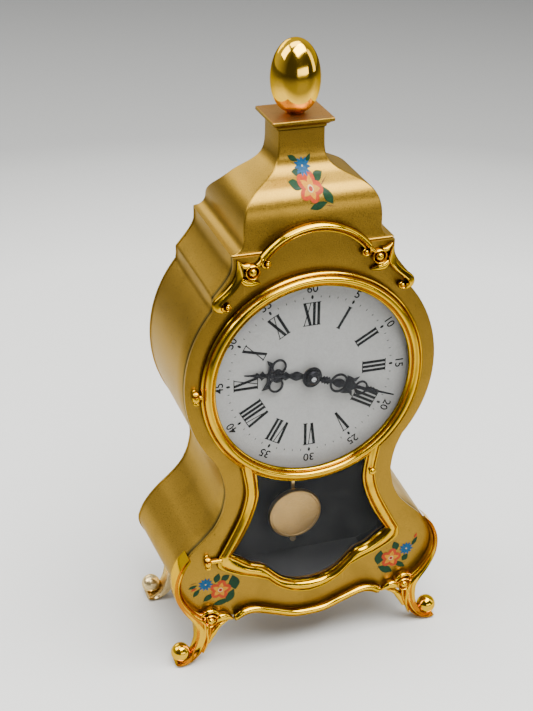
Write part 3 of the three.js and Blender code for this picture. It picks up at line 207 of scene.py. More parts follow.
def along(values, t):
    """The value at share t of the way along a short list."""
    place = min(max(t, 0), 1 - 1e-9) * (len(values) - 1)
    k = int(place)
    return values[k] + (values[k + 1] - values[k]) * (place - k)


def smoothstep(value, low, high):
    """A soft rise from 0 to 1 between two values."""
    t = min(max((value - low) / (high - low), 0), 1)
    return t * t * (3 - 2 * t)


# ---- Bench work ----
def deselect():
    """Leave edit mode and let go of everything."""
    if bpy.context.object and bpy.context.object.mode != "OBJECT":
        bpy.ops.object.mode_set(mode="OBJECT")
    bpy.ops.object.select_all(action="DESELECT")


def pick(*objects):
    """Select these only; the first is the active one."""
    deselect()
    for obj in objects:
        obj.select_set(True)
    bpy.context.view_layer.objects.active = objects[0]


def all_points():
    """Open the active mesh in edit mode with everything selected."""
    bpy.ops.object.mode_set(mode="EDIT")
    bpy.ops.mesh.select_all(action="SELECT")


def face_out():
    """Turn every face outwards and close edit mode."""
    bpy.ops.mesh.select_all(action="SELECT")
    bpy.ops.mesh.normals_make_consistent(inside=False)
    bpy.ops.object.mode_set(mode="OBJECT")


def name_it(name):
    """Name the newest object and its mesh."""
    obj = bpy.context.object
    obj.name = name
    obj.data.name = name
    return obj


def put_points(obj, points):
    """Place the mesh's points in their order."""
    obj.data.vertices.foreach_set("co", [value for point in points for value in point])


def close_up(obj, fill=True):
    """Merge seams and poles, close open ends and turn every face outwards."""
    pick(obj)
    all_points()
    bpy.ops.mesh.remove_doubles(threshold=SEAM)
    if fill:
        bpy.ops.mesh.fill_holes(sides=0)
    face_out()
    return obj


def bent_strip(name, rows):
    """A grid bent so that its rows follow the given points, closed round each row."""
    rows = [row + row[:1] for row in rows]
    deselect()
    bpy.ops.mesh.primitive_grid_add(
        x_subdivisions=len(rows[0]) - 1, y_subdivisions=len(rows) - 1)
    obj = name_it(name)
    put_points(obj, [point for row in rows for point in row])
    return close_up(obj)


def between(name, left, right, section):
    """A relief between two lines; the section lists (share across, y) and may change along it."""
    rows = []
    for i, ((x0, z0), (x1, z1)) in enumerate(zip(left, right)):
        shape = section(i / (len(left) - 1)) if callable(section) else section
        rows.append([(x0 + (x1 - x0) * s, y, z0 + (z1 - z0) * s) for s, y in shape])
    return bent_strip(name, rows)


def bead(name, line, widths, height=2.0, ridge=0.5):
    """A rounded leaf or bead along a line, as wide as the list of widths says."""
    half = [along(widths, i / (len(line) - 1)) / 2 for i in range(len(line))]
    widest = max(widths)

    def section(t):
        top = height * (0.35 + 0.65 * along(widths, t) / widest)
        shape = [(0, BACK)]
        for i in range(9):
            a = math.pi * i / 8
            share = 0.5 - 0.5 * math.cos(a)
            skew = share + (ridge - 0.5) * math.sin(a)
            shape.append((skew, BACK - top * (0.25 + 0.75 * math.sin(a) ** 0.8)))
        shape.append((1, BACK))
        return shape

    return between(name, moved_sideways(line, half), moved_sideways(line, [-h for h in half]),
                   section)


def turned(name, profile, centre, upright=False, steps=96):
    """Spin a profile of (radius, distance along the axis) pairs."""
    x, y, z = centre
    deselect()
    bpy.ops.mesh.primitive_circle_add(vertices=len(profile), fill_type="NOTHING")
    obj = name_it(name)
    put_points(obj, [(x + r, y, d) if upright else (x + r, d, z) for r, d in profile])
    on_axis = profile[0][0] == 0 and profile[-1][0] == 0
    bpy.ops.object.mode_set(mode="EDIT")
    if on_axis:
        bpy.ops.mesh.select_all(action="DESELECT")
        bpy.ops.object.mode_set(mode="OBJECT")
        ends = {0, len(profile) - 1}
        for edge in obj.data.edges:
            edge.select = set(edge.vertices) == ends
        bpy.ops.object.mode_set(mode="EDIT")
        bpy.ops.mesh.select_mode(type="EDGE")
        bpy.ops.mesh.delete(type="EDGE")
    bpy.ops.mesh.select_all(action="SELECT")
    axis = (0, 0, 1) if upright else (0, 1, 0)
    bpy.ops.mesh.spin(steps=steps, angle=2 * math.pi, center=centre, axis=axis)
    bpy.ops.mesh.select_mode(type="VERT")
    bpy.ops.object.mode_set(mode="OBJECT")
    return close_up(obj, fill=False)


def outline_loop(name, line, y):
    """A bare loop of edges round an outline."""
    deselect()
    bpy.ops.mesh.primitive_circle_add(vertices=len(line), fill_type="NOTHING")
    obj = name_it(name)
    put_points(obj, [(x, y, z) for x, z in line])
    return obj


def sheet(name, outer, holes, front, thickness, edge=0.0):
    """Sheet metal: an outline with holes, filled, made thick and its edges broken."""
    loops = [outline_loop(name, line, front) for line in [outer, *holes]]
    obj = joined(*loops)
    all_points()
    bpy.ops.mesh.fill(use_beauty=True)
    bpy.ops.mesh.extrude_region_move(TRANSFORM_OT_translate={"value": (0, thickness, 0)})
    face_out()
    if edge:
        bevel = obj.modifiers.new("Edge", "BEVEL")
        bevel.width = edge
        bevel.segments = 2
        bevel.limit_method = "ANGLE"
        bevel.angle_limit = math.radians(50)
        bpy.ops.object.modifier_apply(modifier=bevel.name)
    return obj


def joined(*objects):
    """Join the objects into the first."""
    pick(*objects)
    if len(objects) > 1:
        bpy.ops.object.join()
    return bpy.context.object


def copied(obj, name, matrix):
    """A copy with its own mesh, moved by a matrix."""
    twin = bpy.data.objects.new(name, obj.data.copy())
    bpy.context.collection.objects.link(twin)
    twin.data.name = name
    twin.data.transform(matrix)
    return twin


def mirror_copy(obj, name):
    """A left-hand copy of a right-hand piece."""
    twin = copied(obj, name, Matrix.Scale(-1, 4, (1, 0, 0)))
    pick(twin)
    bpy.ops.object.mode_set(mode="EDIT")
    face_out()
    return twin


def paint_with(obj, material):
    """Give the whole piece one finish."""
    obj.data.materials.clear()
    obj.data.materials.append(material)


def settle(obj, name, body, nodes, material=None, angle=38):
    """Move a finished piece into the frame, hand it to its body and let it stand for CAD nodes."""
    obj.name = name
    obj.data.name = name
    obj.data.transform(PLACE)
    pick(obj)
    bpy.ops.object.shade_smooth_by_angle(angle=math.radians(angle))
    if material:
        paint_with(obj, material)
    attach(obj, body)
    if nodes:
        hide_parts(*nodes)
    return obj


def settle_pair(right, piece, node, finish):
    """Settle a right-hand gilt piece on the case, and its left-hand twin."""
    left = mirror_copy(right, f"left_{piece}")
    for obj, side in ((right, "right"), (left, "left")):
        settle(obj, f"{side}_{piece}", "case", [f"{side}_{node}"],
               FINISH[finish])


# ---- Finishes ----
class Recipe:
    """A material under construction: its principled shader and short calls for the usual nodes."""

    def __init__(self, name, colour, metallic, roughness):
        self.material = bpy.data.materials.new(name)
        self.material.use_nodes = True
        self.nodes = self.material.node_tree.nodes
        self.links = self.material.node_tree.links
        self.shader = self.nodes["Principled BSDF"]
        self.set("Base Color", (*colour, 1))
        self.set("Metallic", metallic)
        self.set("Roughness", roughness)
        self.place = self.nodes.new("ShaderNodeTexCoord").outputs["Object"]

    def set(self, socket, value):
        self.shader.inputs[socket].default_value = value

    def stretched(self, scale):
        node = self.nodes.new("ShaderNodeMapping")
        node.inputs["Scale"].default_value = scale
        self.links.new(self.place, node.inputs["Vector"])
        return node.outputs["Vector"]

    def noise(self, scale, detail=3.0, vector=None):
        node = self.nodes.new("ShaderNodeTexNoise")
        node.inputs["Scale"].default_value = scale
        node.inputs["Detail"].default_value = detail
        self.links.new(vector or self.place, node.inputs["Vector"])
        return node.outputs["Fac"]

    def axis(self, letter):
        node = self.nodes.new("ShaderNodeSeparateXYZ")
        self.links.new(self.place, node.inputs["Vector"])
        return node.outputs[letter]

    def spread(self, value, low, high, to_low=0.0, to_high=1.0):
        node = self.nodes.new("ShaderNodeMapRange")
        numbers = (low, high, to_low, to_high)
        for socket, number in zip(("From Min", "From Max", "To Min", "To Max"), numbers):
            node.inputs[socket].default_value = number
        self.links.new(value, node.inputs["Value"])
        return node.outputs["Result"]

    def tint(self, amount, base, other):
        """Mix two colours, or an output and a colour, by an amount."""
        node = self.nodes.new("ShaderNodeMix")
        node.data_type = "RGBA"
        self.links.new(amount, node.inputs["Factor"])
        for socket, value in ((node.inputs[6], base), (node.inputs[7], other)):
            if isinstance(value, tuple):
                socket.default_value = (*value, 1)
            else:
                self.links.new(value, socket)
        return node.outputs[2]

    def use(self, socket, output):
        self.links.new(output, self.shader.inputs[socket])

    def bump(self, height, strength, distance):
        node = self.nodes.new("ShaderNodeBump")
        node.inputs["Strength"].default_value = strength
        node.inputs["Distance"].default_value = distance
        self.links.new(height, node.inputs["Height"])
        self.links.new(node.outputs["Normal"], self.shader.inputs["Normal"])


def shade(colour, factor):
    """The colour made darker or paler."""
    return tuple(min(1.0, value * factor) for value in colour)


def satin_paint(name, colour, wear=0.5, seam_shade=False):
    """Gold paint full of fine metal flake, with soft stains, rubs and hairline scratches; where
    the shell meets the front panel its edge is darkened with painted shade."""
    mix = Recipe(name, colour, 0.92, 0.33)
    mix.set("Specular Tint", (0.95, 0.82, 0.55, 1))
    flake = mix.noise(3600, 4.0)
    stain = mix.noise(95, 5.0)
    hair = mix.noise(70, 6.0, mix.stretched((14, 14, 1.2)))
    tone = mix.tint(mix.spread(flake, 0.32, 0.68), shade(colour, 0.74), shade(colour, 1.22))
    tone = mix.tint(mix.spread(stain, 0.52, 0.80, 0, wear), tone, shade(colour, 0.52))
    tone = mix.tint(mix.spread(hair, 0.66, 0.72, 0, 0.35), tone, shade(colour, 1.6))
    pits = mix.noise(780, 3.0)
    tone = mix.tint(mix.spread(pits, 0.70, 0.76, 0, 0.7), tone, shade(colour, 0.22))
    if seam_shade:
        # Painted shade: a near-black band along the shell's front edge, where it meets the front
        # panel.
        edge = FACE_Y + SHELL_FRONT * MM
        near = mix.spread(mix.axis("Y"), edge + 0.4 * MM, edge + 1.6 * MM, 0.95, 0.0)
        tone = mix.tint(near, tone, (0.045, 0.036, 0.012))
    mix.use("Base Color", tone)
    mix.use("Roughness", mix.spread(flake, 0.3, 0.7, 0.26, 0.42))
    mix.bump(flake, 0.6, 0.03 * MM)
    return mix.material


def polished_gilt(name, colour, roughness=0.13, hollow_shade=False):
    """Bright gilding with faint waves from the casting and a little tarnish in patches; on flat
    reliefs the recesses turn dark brown with their depth: painted shade, partly patina."""
    mix = Recipe(name, colour, 1.0, roughness)
    mix.set("Specular Tint", (0.95, 0.76, 0.32, 1))
    tarnish = mix.noise(160, 5.0)
    waves = mix.noise(420, 2.0)
    fine = mix.noise(2600, 3.0)
    tone = mix.tint(mix.spread(tarnish, 0.50, 0.78, 0, 0.55), colour, shade(colour, 0.55))
    tone = mix.tint(mix.spread(fine, 0.58, 0.72, 0, 0.35), tone, shade(colour, 0.7))
    if hollow_shade:
        # Painted shade, partly patina: points lying deeper towards the panel turn dark brown.
        hollow_shade_mask = mix.spread(mix.axis("Y"), FACE_Y - 1.85 * MM, FACE_Y - 1.05 * MM, 0.0, 0.88)
        tone = mix.tint(hollow_shade_mask, tone, (0.10, 0.045, 0.003))
    mix.use("Base Color", tone)
    mix.use("Roughness", mix.spread(tarnish, 0.35, 0.75, roughness * 0.8, roughness * 2.1))
    mix.bump(waves, 0.5, 0.045 * MM)
    return mix.material


def turned_metal(name, colour, roughness=0.3):
    """Lathe-turned or stamped metal with a fine satin grain."""
    mix = Recipe(name, colour, 1.0, roughness)
    grain = mix.noise(900, 3.0, mix.stretched((1, 1, 9)))
    blotch = mix.noise(130, 4.0)
    tone = mix.tint(mix.spread(grain, 0.35, 0.65), shade(colour, 0.82), shade(colour, 1.1))
    mix.use("Base Color", mix.tint(mix.spread(blotch, 0.5, 0.8, 0, 0.4), tone,
                                   shade(colour, 0.6)))
    mix.use("Roughness", mix.spread(grain, 0.3, 0.7, roughness * 0.8, roughness * 1.3))
    mix.bump(grain, 0.2, 0.01 * MM)
    return mix.material


def flat_finish(name, colour, roughness=0.5, metallic=0.0, depth=0.15, coat=0.0):
    """Paint, ink or card with a slight mottle."""
    mix = Recipe(name, colour, metallic, roughness)
    mix.set("Coat Weight", coat)
    mix.set("Specular IOR Level", 0.15)
    mottle = mix.noise(1400, 4.0)
    tone = mix.tint(mix.spread(mottle, 0.3, 0.7), shade(colour, 1 - depth),
                    shade(colour, 1 + depth))
    mix.use("Base Color", tone)
    mix.bump(mottle, 0.1, 0.01 * MM)
    return mix.material


def clear_glass(name):
    """Thin clear glass with a trace of dust."""
    mix = Recipe(name, (0.25, 0.26, 0.26), 0.0, 0.03)
    mix.set("Specular IOR Level", 0.35)
    dust = mix.noise(320, 6.0)
    mix.use("Alpha", mix.spread(dust, 0.45, 0.85, 0.02, 0.05))
    return mix.material


def mix_finishes(colours):
    """Every finish by its name."""
    gilt = tuple(colours.gilt)
    return {
        "satin_gold": satin_paint("satin_gold_paint", tuple(colours.paint)),
        # The shell's paint carries painted shade along its front edge.
        "shell_paint": satin_paint("seam_shaded_gold_paint", tuple(colours.paint), 0.6, True),
        "cap_paint": satin_paint("cap_top_paint", (0.38, 0.18, 0.05), 0.8),
        "polished_gold": polished_gilt("polished_gilt", gilt),
        # Relief mouldings carry painted shade in their recesses.
        "relief_gold": polished_gilt("relief_gilt", gilt, 0.12, True),
        "mirror_gold": polished_gilt("mirror_gilt", (0.80, 0.47, 0.03), 0.09),
        "pale_gilt": polished_gilt("pale_gilt", (0.72, 0.55, 0.27), 0.2),
        "plate_brass": turned_metal("plate_brass", tuple(colours.brass)),
        "steel": turned_metal("turned_steel", (0.55, 0.56, 0.58), 0.28),
        "blued_steel": turned_metal("black_steel", (0.018, 0.018, 0.021), 0.42),
        "dial_silver": flat_finish("silvered_dial", tuple(colours.face), 0.42, 0.15, 0.05),
        "ink": flat_finish("dial_ink", tuple(colours.ink), 0.7),
        "glass": clear_glass("clear_glass"),
        "black_card": flat_finish("black_card", (0.038, 0.038, 0.040), 0.85),
        "bob_gold": turned_metal("pale_bob_gilt", tuple(colours.bob), 0.42),
        "coral": flat_finish("coral_paint", (0.33, 0.032, 0.003), 0.6, 0, 0.2, 0.05),
        "yellow": flat_finish("yellow_paint", (0.44, 0.18, 0.001), 0.6, 0, 0.2, 0.05),
        "cream": flat_finish("cream_paint", (0.45, 0.34, 0.16), 0.6, 0, 0.1, 0.05),
        "red": flat_finish("red_paint", (0.24, 0.006, 0.003), 0.6, 0, 0.2, 0.05),
        "blue": flat_finish("blue_paint", (0.002, 0.055, 0.135), 0.6, 0, 0.3, 0.05),
        "green": flat_finish("green_paint", (0.001, 0.026, 0.006), 0.6, 0, 0.3, 0.05),
        "brown": flat_finish("brown_paint", (0.10, 0.04, 0.01), 0.6, 0, 0.3, 0.05),
    }


FINISH = {}


# ---- The case ----
def case_side():
    """The case outline, right half, from the shoulder to the underside."""
    shoulder = smooth([(23.8, 40.5), (23.8, 37.3), (24.6, 35), (26.7, 32), (29.3, 28.9)], 20)
    tier = [(29.45, 28.5), (29.4, 27.4), (29.45, 26.2)]
    drum = arc(0, 0.7, 38.2, 39.2, -39.7, 56)
    flank = [(29.4, -23.7), (27.3, -28.7), (26.2, -35), (26.8, -40), (27.8, -43.2),
             (29.7, -46.8), (33.1, -50.6), (36.9, -54.3), (40.2, -59), (41.6, -63.8),
             (41.1, -67.5), (38.6, -71.8), (35.2, -75.6)]
    return shoulder + tier + drum + smooth(flank, 60)[1:] + [(34.2, -76.6), (32.8, -77.2)]


APRON = [(23.5, -79.6), (20.6, -78.2), (17, -78.1), (11.5, -79.9), (5, -82.2), (0, -82.6)]


def flared(x, y, z):
    """The hips spread towards the back."""
    share = min(max((HIP_TOP - z) / HIP_REACH, 0), 1)
    return x + HIP_FLARE * (y / CASE_BACK) * share * share * x / HIP_HALF


def panel_outline():
    """Round the front panel: its dome, ledge, side and apron, both halves."""
    dome = [(x, z) for x, z in arc(0, 28.5, 19.6, 90, 37.8, 22) if z > LEDGE[1]]
    half = dome + [(dome[-1][0] + 0.5, LEDGE[1])] + case_side()
    half += [(30, -78.3)] + smooth(APRON, 26)
    return half + mirrored(half)[1:-1]


def pane_lines():
    """Inner and outer edges of the window moulding, right half, from the dial ring down."""
    inner = smooth([(17.6, -26.5), (17.1, -29.4), (16.5, -36.5), (18.2, -43.5), (21.4, -50.6),
                    (24.8, -56.2)], 30)
    outer = smooth([(22.6, -23.5), (21.6, -28), (20.6, -35), (22, -42), (25.5, -49.6),
                    (29.2, -56.6)], 30)
    inner += smooth([(24.8, -56.2), (21.6, -58), (18.3, -60.5), (14.7, -61.9),
                     (12.4, -64.1)], 20)[1:]
    outer += smooth([(29.2, -56.6), (29.2, -60.3), (23.5, -63.8), (18, -65.9),
                     (13.6, -67.7)], 20)[1:]
    inner += smooth([(12.4, -64.1), (8.6, -67.6), (4.4, -69.5), (0, -70)], 16)[1:]
    outer += smooth([(13.6, -67.7), (9.8, -71.3), (4.6, -74), (0, -74.8)], 16)[1:]
    return inner, outer


def make_front_panel(sizes):
    """Sheet with the round dial hole and the shaped window."""
    inner = [(x, z) for x, z in pane_lines()[0] if math.hypot(x, z) > 33.9]
    pane = moved_sideways(inner, PANE_PLAY)
    window = pane + mirrored(pane)[1:] + arc(0, 0, RING_SEAT, 239, 301, 10)
    hole = arc(0, 0, DIAL_HOLE, 0, 357, 119)
    obj = sheet("front_panel_sheet", panel_outline(), [hole, window], 0, sizes.wall / MM,
                sizes.edge / MM)
    settle(obj, "front_panel_sheet", "case", ["front_panel"],
           FINISH["satin_gold"])


def make_shell(sizes):
    """One bent strip with a rounded front edge and a thin lap at the rear."""
    half = case_side()
    line = half + mirrored(half)
    wall = sizes.wall / MM
    section = [(0.4, SHELL_FRONT), (0.12, SHELL_FRONT + 0.1), (0, SHELL_FRONT + 0.4), (0, 9),
               (0, 17), (0, 25), (0, 33), (0, 39), (-0.2, 39.1), (-0.3, 39.4),
               (-0.2, 39.9), (0, CASE_BACK), (wall, CASE_BACK), (wall, SHELL_FRONT)]
    rows = []
    insets = [moved_sideways(line, -inset) for inset, _ in section]
    for i in range(len(line)):
        rows.append([(flared(inset[i][0], y, inset[i][1]), y, inset[i][1])
                     for inset, (_, y) in zip(insets, section)])
    obj = bent_strip("case_shell_strip", rows)
    settle(obj, "case_shell_strip", "case", ["case_shell"],
           FINISH["shell_paint"])


def hood_line():
    """Half width against height: cove, upright, shoulder and neck."""
    x, z, radius = COVE
    cove = [(x - radius * math.sin(math.radians(a)), z - radius * math.cos(math.radians(a)))
            for a in range(0, 91, 9)]
    rise = smooth([(20.4, 44.2), (20.4, 47.3), (20.1, 50.4), (19.3, 53.1), (17.9, 55.2),
                   (15.9, 56.8), (13.3, 58), (10.7, 59.2), (8.6, 60.7), (7.35, 62.7),
                   (6.9, 65.2), (6.8, 68), (6.8, 70.9)], 60)
    lip = [(LEDGE[0], 40.52), (LEDGE[0] + 0.25, 40.55), (LEDGE[0] + 0.3, 40.75),
           (LEDGE[0] + 0.15, 40.95)]
    return lip + cove[:-1] + rise


def roof_front(half_width):
    """How far back the roof's front stands where it is this wide."""
    rake = 11.3 / 13.6
    return 1.5 + max(0, HOOD_HALF - half_width) * rake - 1.2 * max(0, half_width - 23.7)


def roof_rear(z):
    """How far back the roof reaches at a height."""
    return CASE_BACK - 14.5 * smoothstep(z, 43.8, 57)


def rounded_rectangle(half_width, front, rear, radius, z):
    """A level loop with rounded corners, from the right front one."""
    side, near, far = half_width - radius, front + radius, rear - radius
    points = []
    for x, y, start in ((side, near, -90), (side, far, 0), (-side, far, 90), (-side, near, 180)):
        for step in range(5):
            a = math.radians(start + 90 * step / 4)
            points.append((x + radius * math.cos(a), y + radius * math.sin(a), z))
    return points


def make_roof(sizes):
    """Level loops stacked up the roof's outline."""
    rows = [rounded_rectangle(x, roof_front(x), roof_rear(z), sizes.corner / MM, z)
            for x, z in hood_line()]
    obj = bent_strip("bell_roof", rows)
    settle(obj, "bell_roof", "case", ["roof_hood"], FINISH["satin_gold"])


def make_cap():
    """A square cap: a cove under a plain rim, and a slightly dished top that carries the egg."""
    levels = [(-1.9, 71.0), (-1.75, 71.15), (-1.75, 71.7), (-1.45, 72.0), (-1.2, 72.05),
              (-0.95, 72.35), (-0.3, 72.75), (-0.1, 72.85), (0, 73.0), (0, 73.7), (-0.12, 73.88),
              (-0.4, 73.93), (-0.9, 73.82), (-5.5, 73.82)]
    rows = []
    for grow, z in levels:
        radius = 0.35 if grow > -5 else 1.5
        rows.append(rounded_rectangle(CAP_HALF + grow, ROOF_Y - CAP_DEPTH - grow,
                                      ROOF_Y + CAP_DEPTH + grow, radius, z))
    obj = bent_strip("cap_square", rows)
    settle(obj, "cap_square", "case", ["cap_plate"], FINISH["satin_gold"], 30)
    # The cap's upward-facing faces take a paler, browner paint than the rest.
    obj.data.materials.append(FINISH["cap_paint"])
    for face in obj.data.polygons:
        if face.normal.z > 0.6 and face.center.z > CAD_BOX[1][2] - 22 * MM:
            face.material_index = 1


def make_egg(sizes):
    """An egg, blunter and wider below its middle, on a small round seat."""
    top = sizes.egg_top / MM
    radius = sizes.egg_radius / MM
    low = EGG_SEAT
    profile = [(0, low - 0.15), (2.5, low - 0.15), (2.7, low + 0.05)]
    for i in range(4, 47):
        a = math.pi * i / 46
        z = low + 0.05 + (top - low) * (1 - math.cos(a)) / 2
        wide = 1 + 0.065 * math.cos(a)
        if z > low + 0.3 and i < 46:
            blunt = 0.94 - 0.1 * (1 + math.cos(a))
            profile.append((radius * math.sin(a) ** blunt * wide, z))
    profile.append((0, top))
    obj = turned("egg_finial", profile, (0, ROOF_Y, 0), upright=True, steps=128)
    settle(obj, "egg_finial", "case", ["finial_egg"], FINISH["mirror_gold"], 60)


# ---- Gilt mouldings ----
STEPPED = [(0, BACK), (0, -1.1), (0.05, -1.5), (0.13, -1.62), (0.21, -1.45), (0.25, -1.25),
           (0.3, -1.55), (0.4, -2.15), (0.52, -2.45), (0.66, -2.42), (0.8, -2.1), (0.92, -1.6),
           (0.98, -1.1), (1, BACK)]


def boss(name, x, z, radius, rise=1.0):
    """A round boss: an outer ring, a groove and a domed pip."""
    shape = [(0, BACK), (1.03, BACK), (1.03, -1.7), (0.98, -2.15), (0.9, -2.3), (0.81, -2.1),
             (0.75, -1.3), (0.68, -1.0), (0.61, -1.3), (0.54, -1.95), (0.4, -2.5), (0.2, -2.75),
             (0, -2.8)]
    return turned(name, [(r * radius, y * rise) for r, y in shape], (x, 0, z), steps=40)


def curl(name, x, z, radius, start, sweep, width):
    """A tapering spiral that ends in a pip."""
    line = []
    for i in range(25):
        t = i / 24
        a = math.radians(start + sweep * t)
        r = radius * (1 - 0.68 * t)
        line.append((x + r * math.cos(a), z + r * math.sin(a)))
    tail = bead(name, line, [width, width * 0.8, width * 0.5], 2.1)
    pip = turned(name, [(0, BACK), (0.62, BACK), (0.62, -1.9), (0.5, -2.35), (0.25, -2.6),
                        (0, -2.68)], (x, 0, z), steps=24)
    return joined(tail, pip)


def make_arch(sizes):
    """The stepped bead over the dial, with a curl at each end."""
    width = sizes.bead / MM
    line = arc(0, 27.9, 19.5, 38, 142, 72)
    bar = between("arch_bead", moved_sideways(line, width / 2),
                  moved_sideways(line, -width / 2), STEPPED)
    right = curl("arch_bead", 14.5, 38.5, 1.7, 60, -330, 1.1)
    left = mirror_copy(right, "arch_bead")
    obj = joined(bar, right, left)
    settle(obj, "arch_bead", "case", ["arch_moulding"],
           FINISH["relief_gold"])


def right_corner_scroll(sizes):
    """A ridged leaf down the shoulder, with a curl, tendrils and a boss."""
    name = "corner_scroll"
    outer = smooth([(23, 40.4), (23.1, 37.4), (24.1, 34.3), (26.6, 31.4), (29.3, 29.2),
                    (30.1, 27.5), (29.4, 25.7), (27.6, 24.9)], 36)
    inner = smooth([(22.7, 40.2), (21.5, 37), (21.3, 34.7), (22.9, 31.9), (25.5, 29.4),
                    (27, 28.2), (27.7, 27.3), (27, 26.5)], 36)
    ridged = [(0, BACK), (0, -0.9), (0.06, -1.5), (0.16, -2.1), (0.24, -2.25), (0.34, -1.95),
              (0.6, -1.7), (0.82, -1.6), (0.94, -1.35), (1, -0.8), (1, BACK)]
    leaf = between(name, inner, outer, ridged)
    parts = [
        leaf,
        curl(name, 26, 26.9, 1.5, 10, -300, 1.0),
        bead(name, smooth([(22, 34.6), (20.4, 33.4), (18.6, 32.9), (16.2, 32.5)], 16),
             [1.2, 2.5, 2.1, 0.3], 1.9),
        bead(name, smooth([(19.6, 38.3), (21.2, 38.4), (22.8, 40)], 10), [1.7, 1.5, 0.4], 1.9),
        bead(name, smooth([(17.2, 38.2), (16.3, 39), (15.9, 40.2)], 8), [1.3, 1.2, 0.5], 1.7),
        boss(name, 18.7, 36.5, sizes.boss / MM),
    ]
    return joined(*parts)


def make_corner_scrolls(sizes):
    settle_pair(right_corner_scroll(sizes), "scroll", "corner_scroll", "relief_gold")


def make_apron(sizes):
    """The stepped bead along the foot of the panel, with a leaf at each end."""
    half = smooth(APRON, 40)
    line = half + mirrored(half)[1:]
    width = sizes.bead / MM
    bar = between("apron_bead", moved_sideways(line, width / 2),
                  moved_sideways(line, -width / 2), STEPPED)
    tail = bead("apron_bead", smooth([(21.4, -78.1), (22.8, -79), (23.6, -80.8)], 8),
                [2.2, 2.4, 0.8], 2.0)
    other = mirror_copy(tail, "apron_bead")
    obj = joined(bar, tail, other)
    settle(obj, "apron_bead", "case", ["apron_moulding"],
           FINISH["relief_gold"])


# ---- Feet ----
def foot_lines():
    """Outer and inner edges of a foot below the leg, ending in the scroll under its ball."""
    outer = [(37, -79.4), (36.4, -83.2), (36.8, -86.6), (37.8, -89.4), (39.2, -91.5), (41, -92.6),
             (42.7, -92.7)]
    inner = [(32, -78.6), (31.4, -83.2), (33, -87.6), (35.2, -90.9), (37.9, -93.1),
             (40.9, FLOOR + 0.1), (43.2, -93.2)]
    return outer, inner


def leg_section(t):
    """A ridged front that wraps round the case beside the hip, and closes below it."""
    closed = smoothstep(t, 0.5, 0.62)
    wrap = 3.6 - 2.0 * closed
    rear = BACK + (wrap - BACK) * closed
    return [(0, rear), (0, BACK), (0, -1.0), (0.05, -1.8), (0.12, -2.05), (0.19, -1.8),
            (0.24, -1.2), (0.3, -1.85), (0.4, -2.6), (0.47, -2.75), (0.54, -2.4), (0.6, -1.85),
            (0.76, -1.3), (0.9, -1.5), (0.96, -1.7), (1, -1.2), (1, 0.9), (1, wrap - 0.2),
            (0.97, wrap), (0.8, wrap), (0.78, rear), (0.5, rear)]


def foot_ball(name, radius, y, steps):
    """The ball that stands on a foot's scroll."""
    shape = [(radius * math.sin(math.radians(a)), y - radius * math.cos(math.radians(a)))
             for a in range(0, 181, 10)]
    shape[0], shape[-1] = (0, y - radius), (0, y + radius)
    return turned(name, shape, (41.1, 0, -90), steps=steps)


def right_front_leg(sizes):
    """The leg beside the hip, its ball, and the leafy bracket that ties it to the apron."""
    name = "front_leg"
    outer_top = [(38.3, -55.0), (41.2, -58.4), (42.9, -63.6), (42.6, -69), (40.3, -74.3)]
    inner_top = [(37.8, -55.3), (39.9, -59.6), (40.9, -64), (39.9, -68.8), (37, -73.4)]
    outer_low, inner_low = foot_lines()
    outer = smooth(outer_top + outer_low, 72)
    inner = smooth(inner_top + inner_low, 72)
    leg = between(name, inner, outer, leg_section)
    parts = [
        leg,
        foot_ball(name, sizes.ball / MM, 0.2, 48),
        boss(name, 31.9, -78.6, sizes.boss / MM, 1.15),
        bead(name, smooth([(34.9, -77.4), (33.6, -75.7), (31.5, -75.3), (29.6, -76.5),
                           (28.9, -78.6)], 18), [0.7, 1.3, 1.5, 1.3, 0.5], 2.2),
        bead(name, smooth([(30.6, -79.8), (28.6, -78.6), (26.6, -78.8), (24.4, -80.2)], 16),
             [1.6, 2.9, 2.4, 0.5], 2.2),
        bead(name, smooth([(32.6, -87.4), (31, -84), (29.2, -81.6), (26.2, -80.2)], 16),
             [1.2, 2.1, 1.7, 0.5], 1.9),
        bead(name, smooth([(34.4, -90.6), (33, -86), (33.2, -82), (32.6, -79.6)], 18),
             [0.5, 1.1, 1.2, 0.8], 2.7),
    ]
    return joined(*parts)


def make_front_legs(sizes):
    settle_pair(right_front_leg(sizes), "leg", "front_leg", "polished_gold")


def make_rear_feet(sizes):
    """Plainer scrolls under the rear edge of the case."""
    name = "rear_leg"
    outer, inner = foot_lines()
    outer = smooth([(37.6, -77.5)] + outer, 48)
    inner = smooth([(32.4, -77.5)] + inner, 48)
    section = [(0, 34), (0, 38), (0.1, 38.8), (0.5, 39.2), (0.9, 38.8), (1, 38), (1, 34),
               (0.9, 33.3), (0.5, 33), (0.1, 33.3)]
    leg = between(name, inner, outer, section)
    right = joined(leg, foot_ball(name, sizes.ball / MM, 37.6, 40))
    settle_pair(right, "rear_leg", "rear_foot", "pale_gilt")


# ---- Painted flowers ----
def brush_marks():
    """The two strokes that every flower is painted with: a round dab and a pointed leaf."""
    dab = sheet("dab", arc(0, 0, 1, 0, 342, 19), [], 0, 0.02)
    leaf = sheet("leaf", smooth([(0, -1), (0.75, -0.35), (0.7, 0.3), (0, 1)], 9) +
                 smooth([(0, 1), (-0.7, 0.3), (-0.75, -0.35), (0, -1)], 9)[1:-1], [], 0, 0.02)
    return {"dab": dab, "leaf": leaf}


def stroke(marks, kind, colour, at, size, turn, layer):
    """One brush mark; size is (half width, half length), turn in degrees from upright."""
    matrix = (Matrix.Translation((at[0], -0.03 * (layer + 1), at[1]))
              @ Matrix.Rotation(math.radians(turn), 4, "Y")
              @ Matrix.Diagonal((size[0], 1, size[1], 1)))
    obj = copied(marks[kind], "stroke", matrix)
    paint_with(obj, FINISH[colour])
    return obj


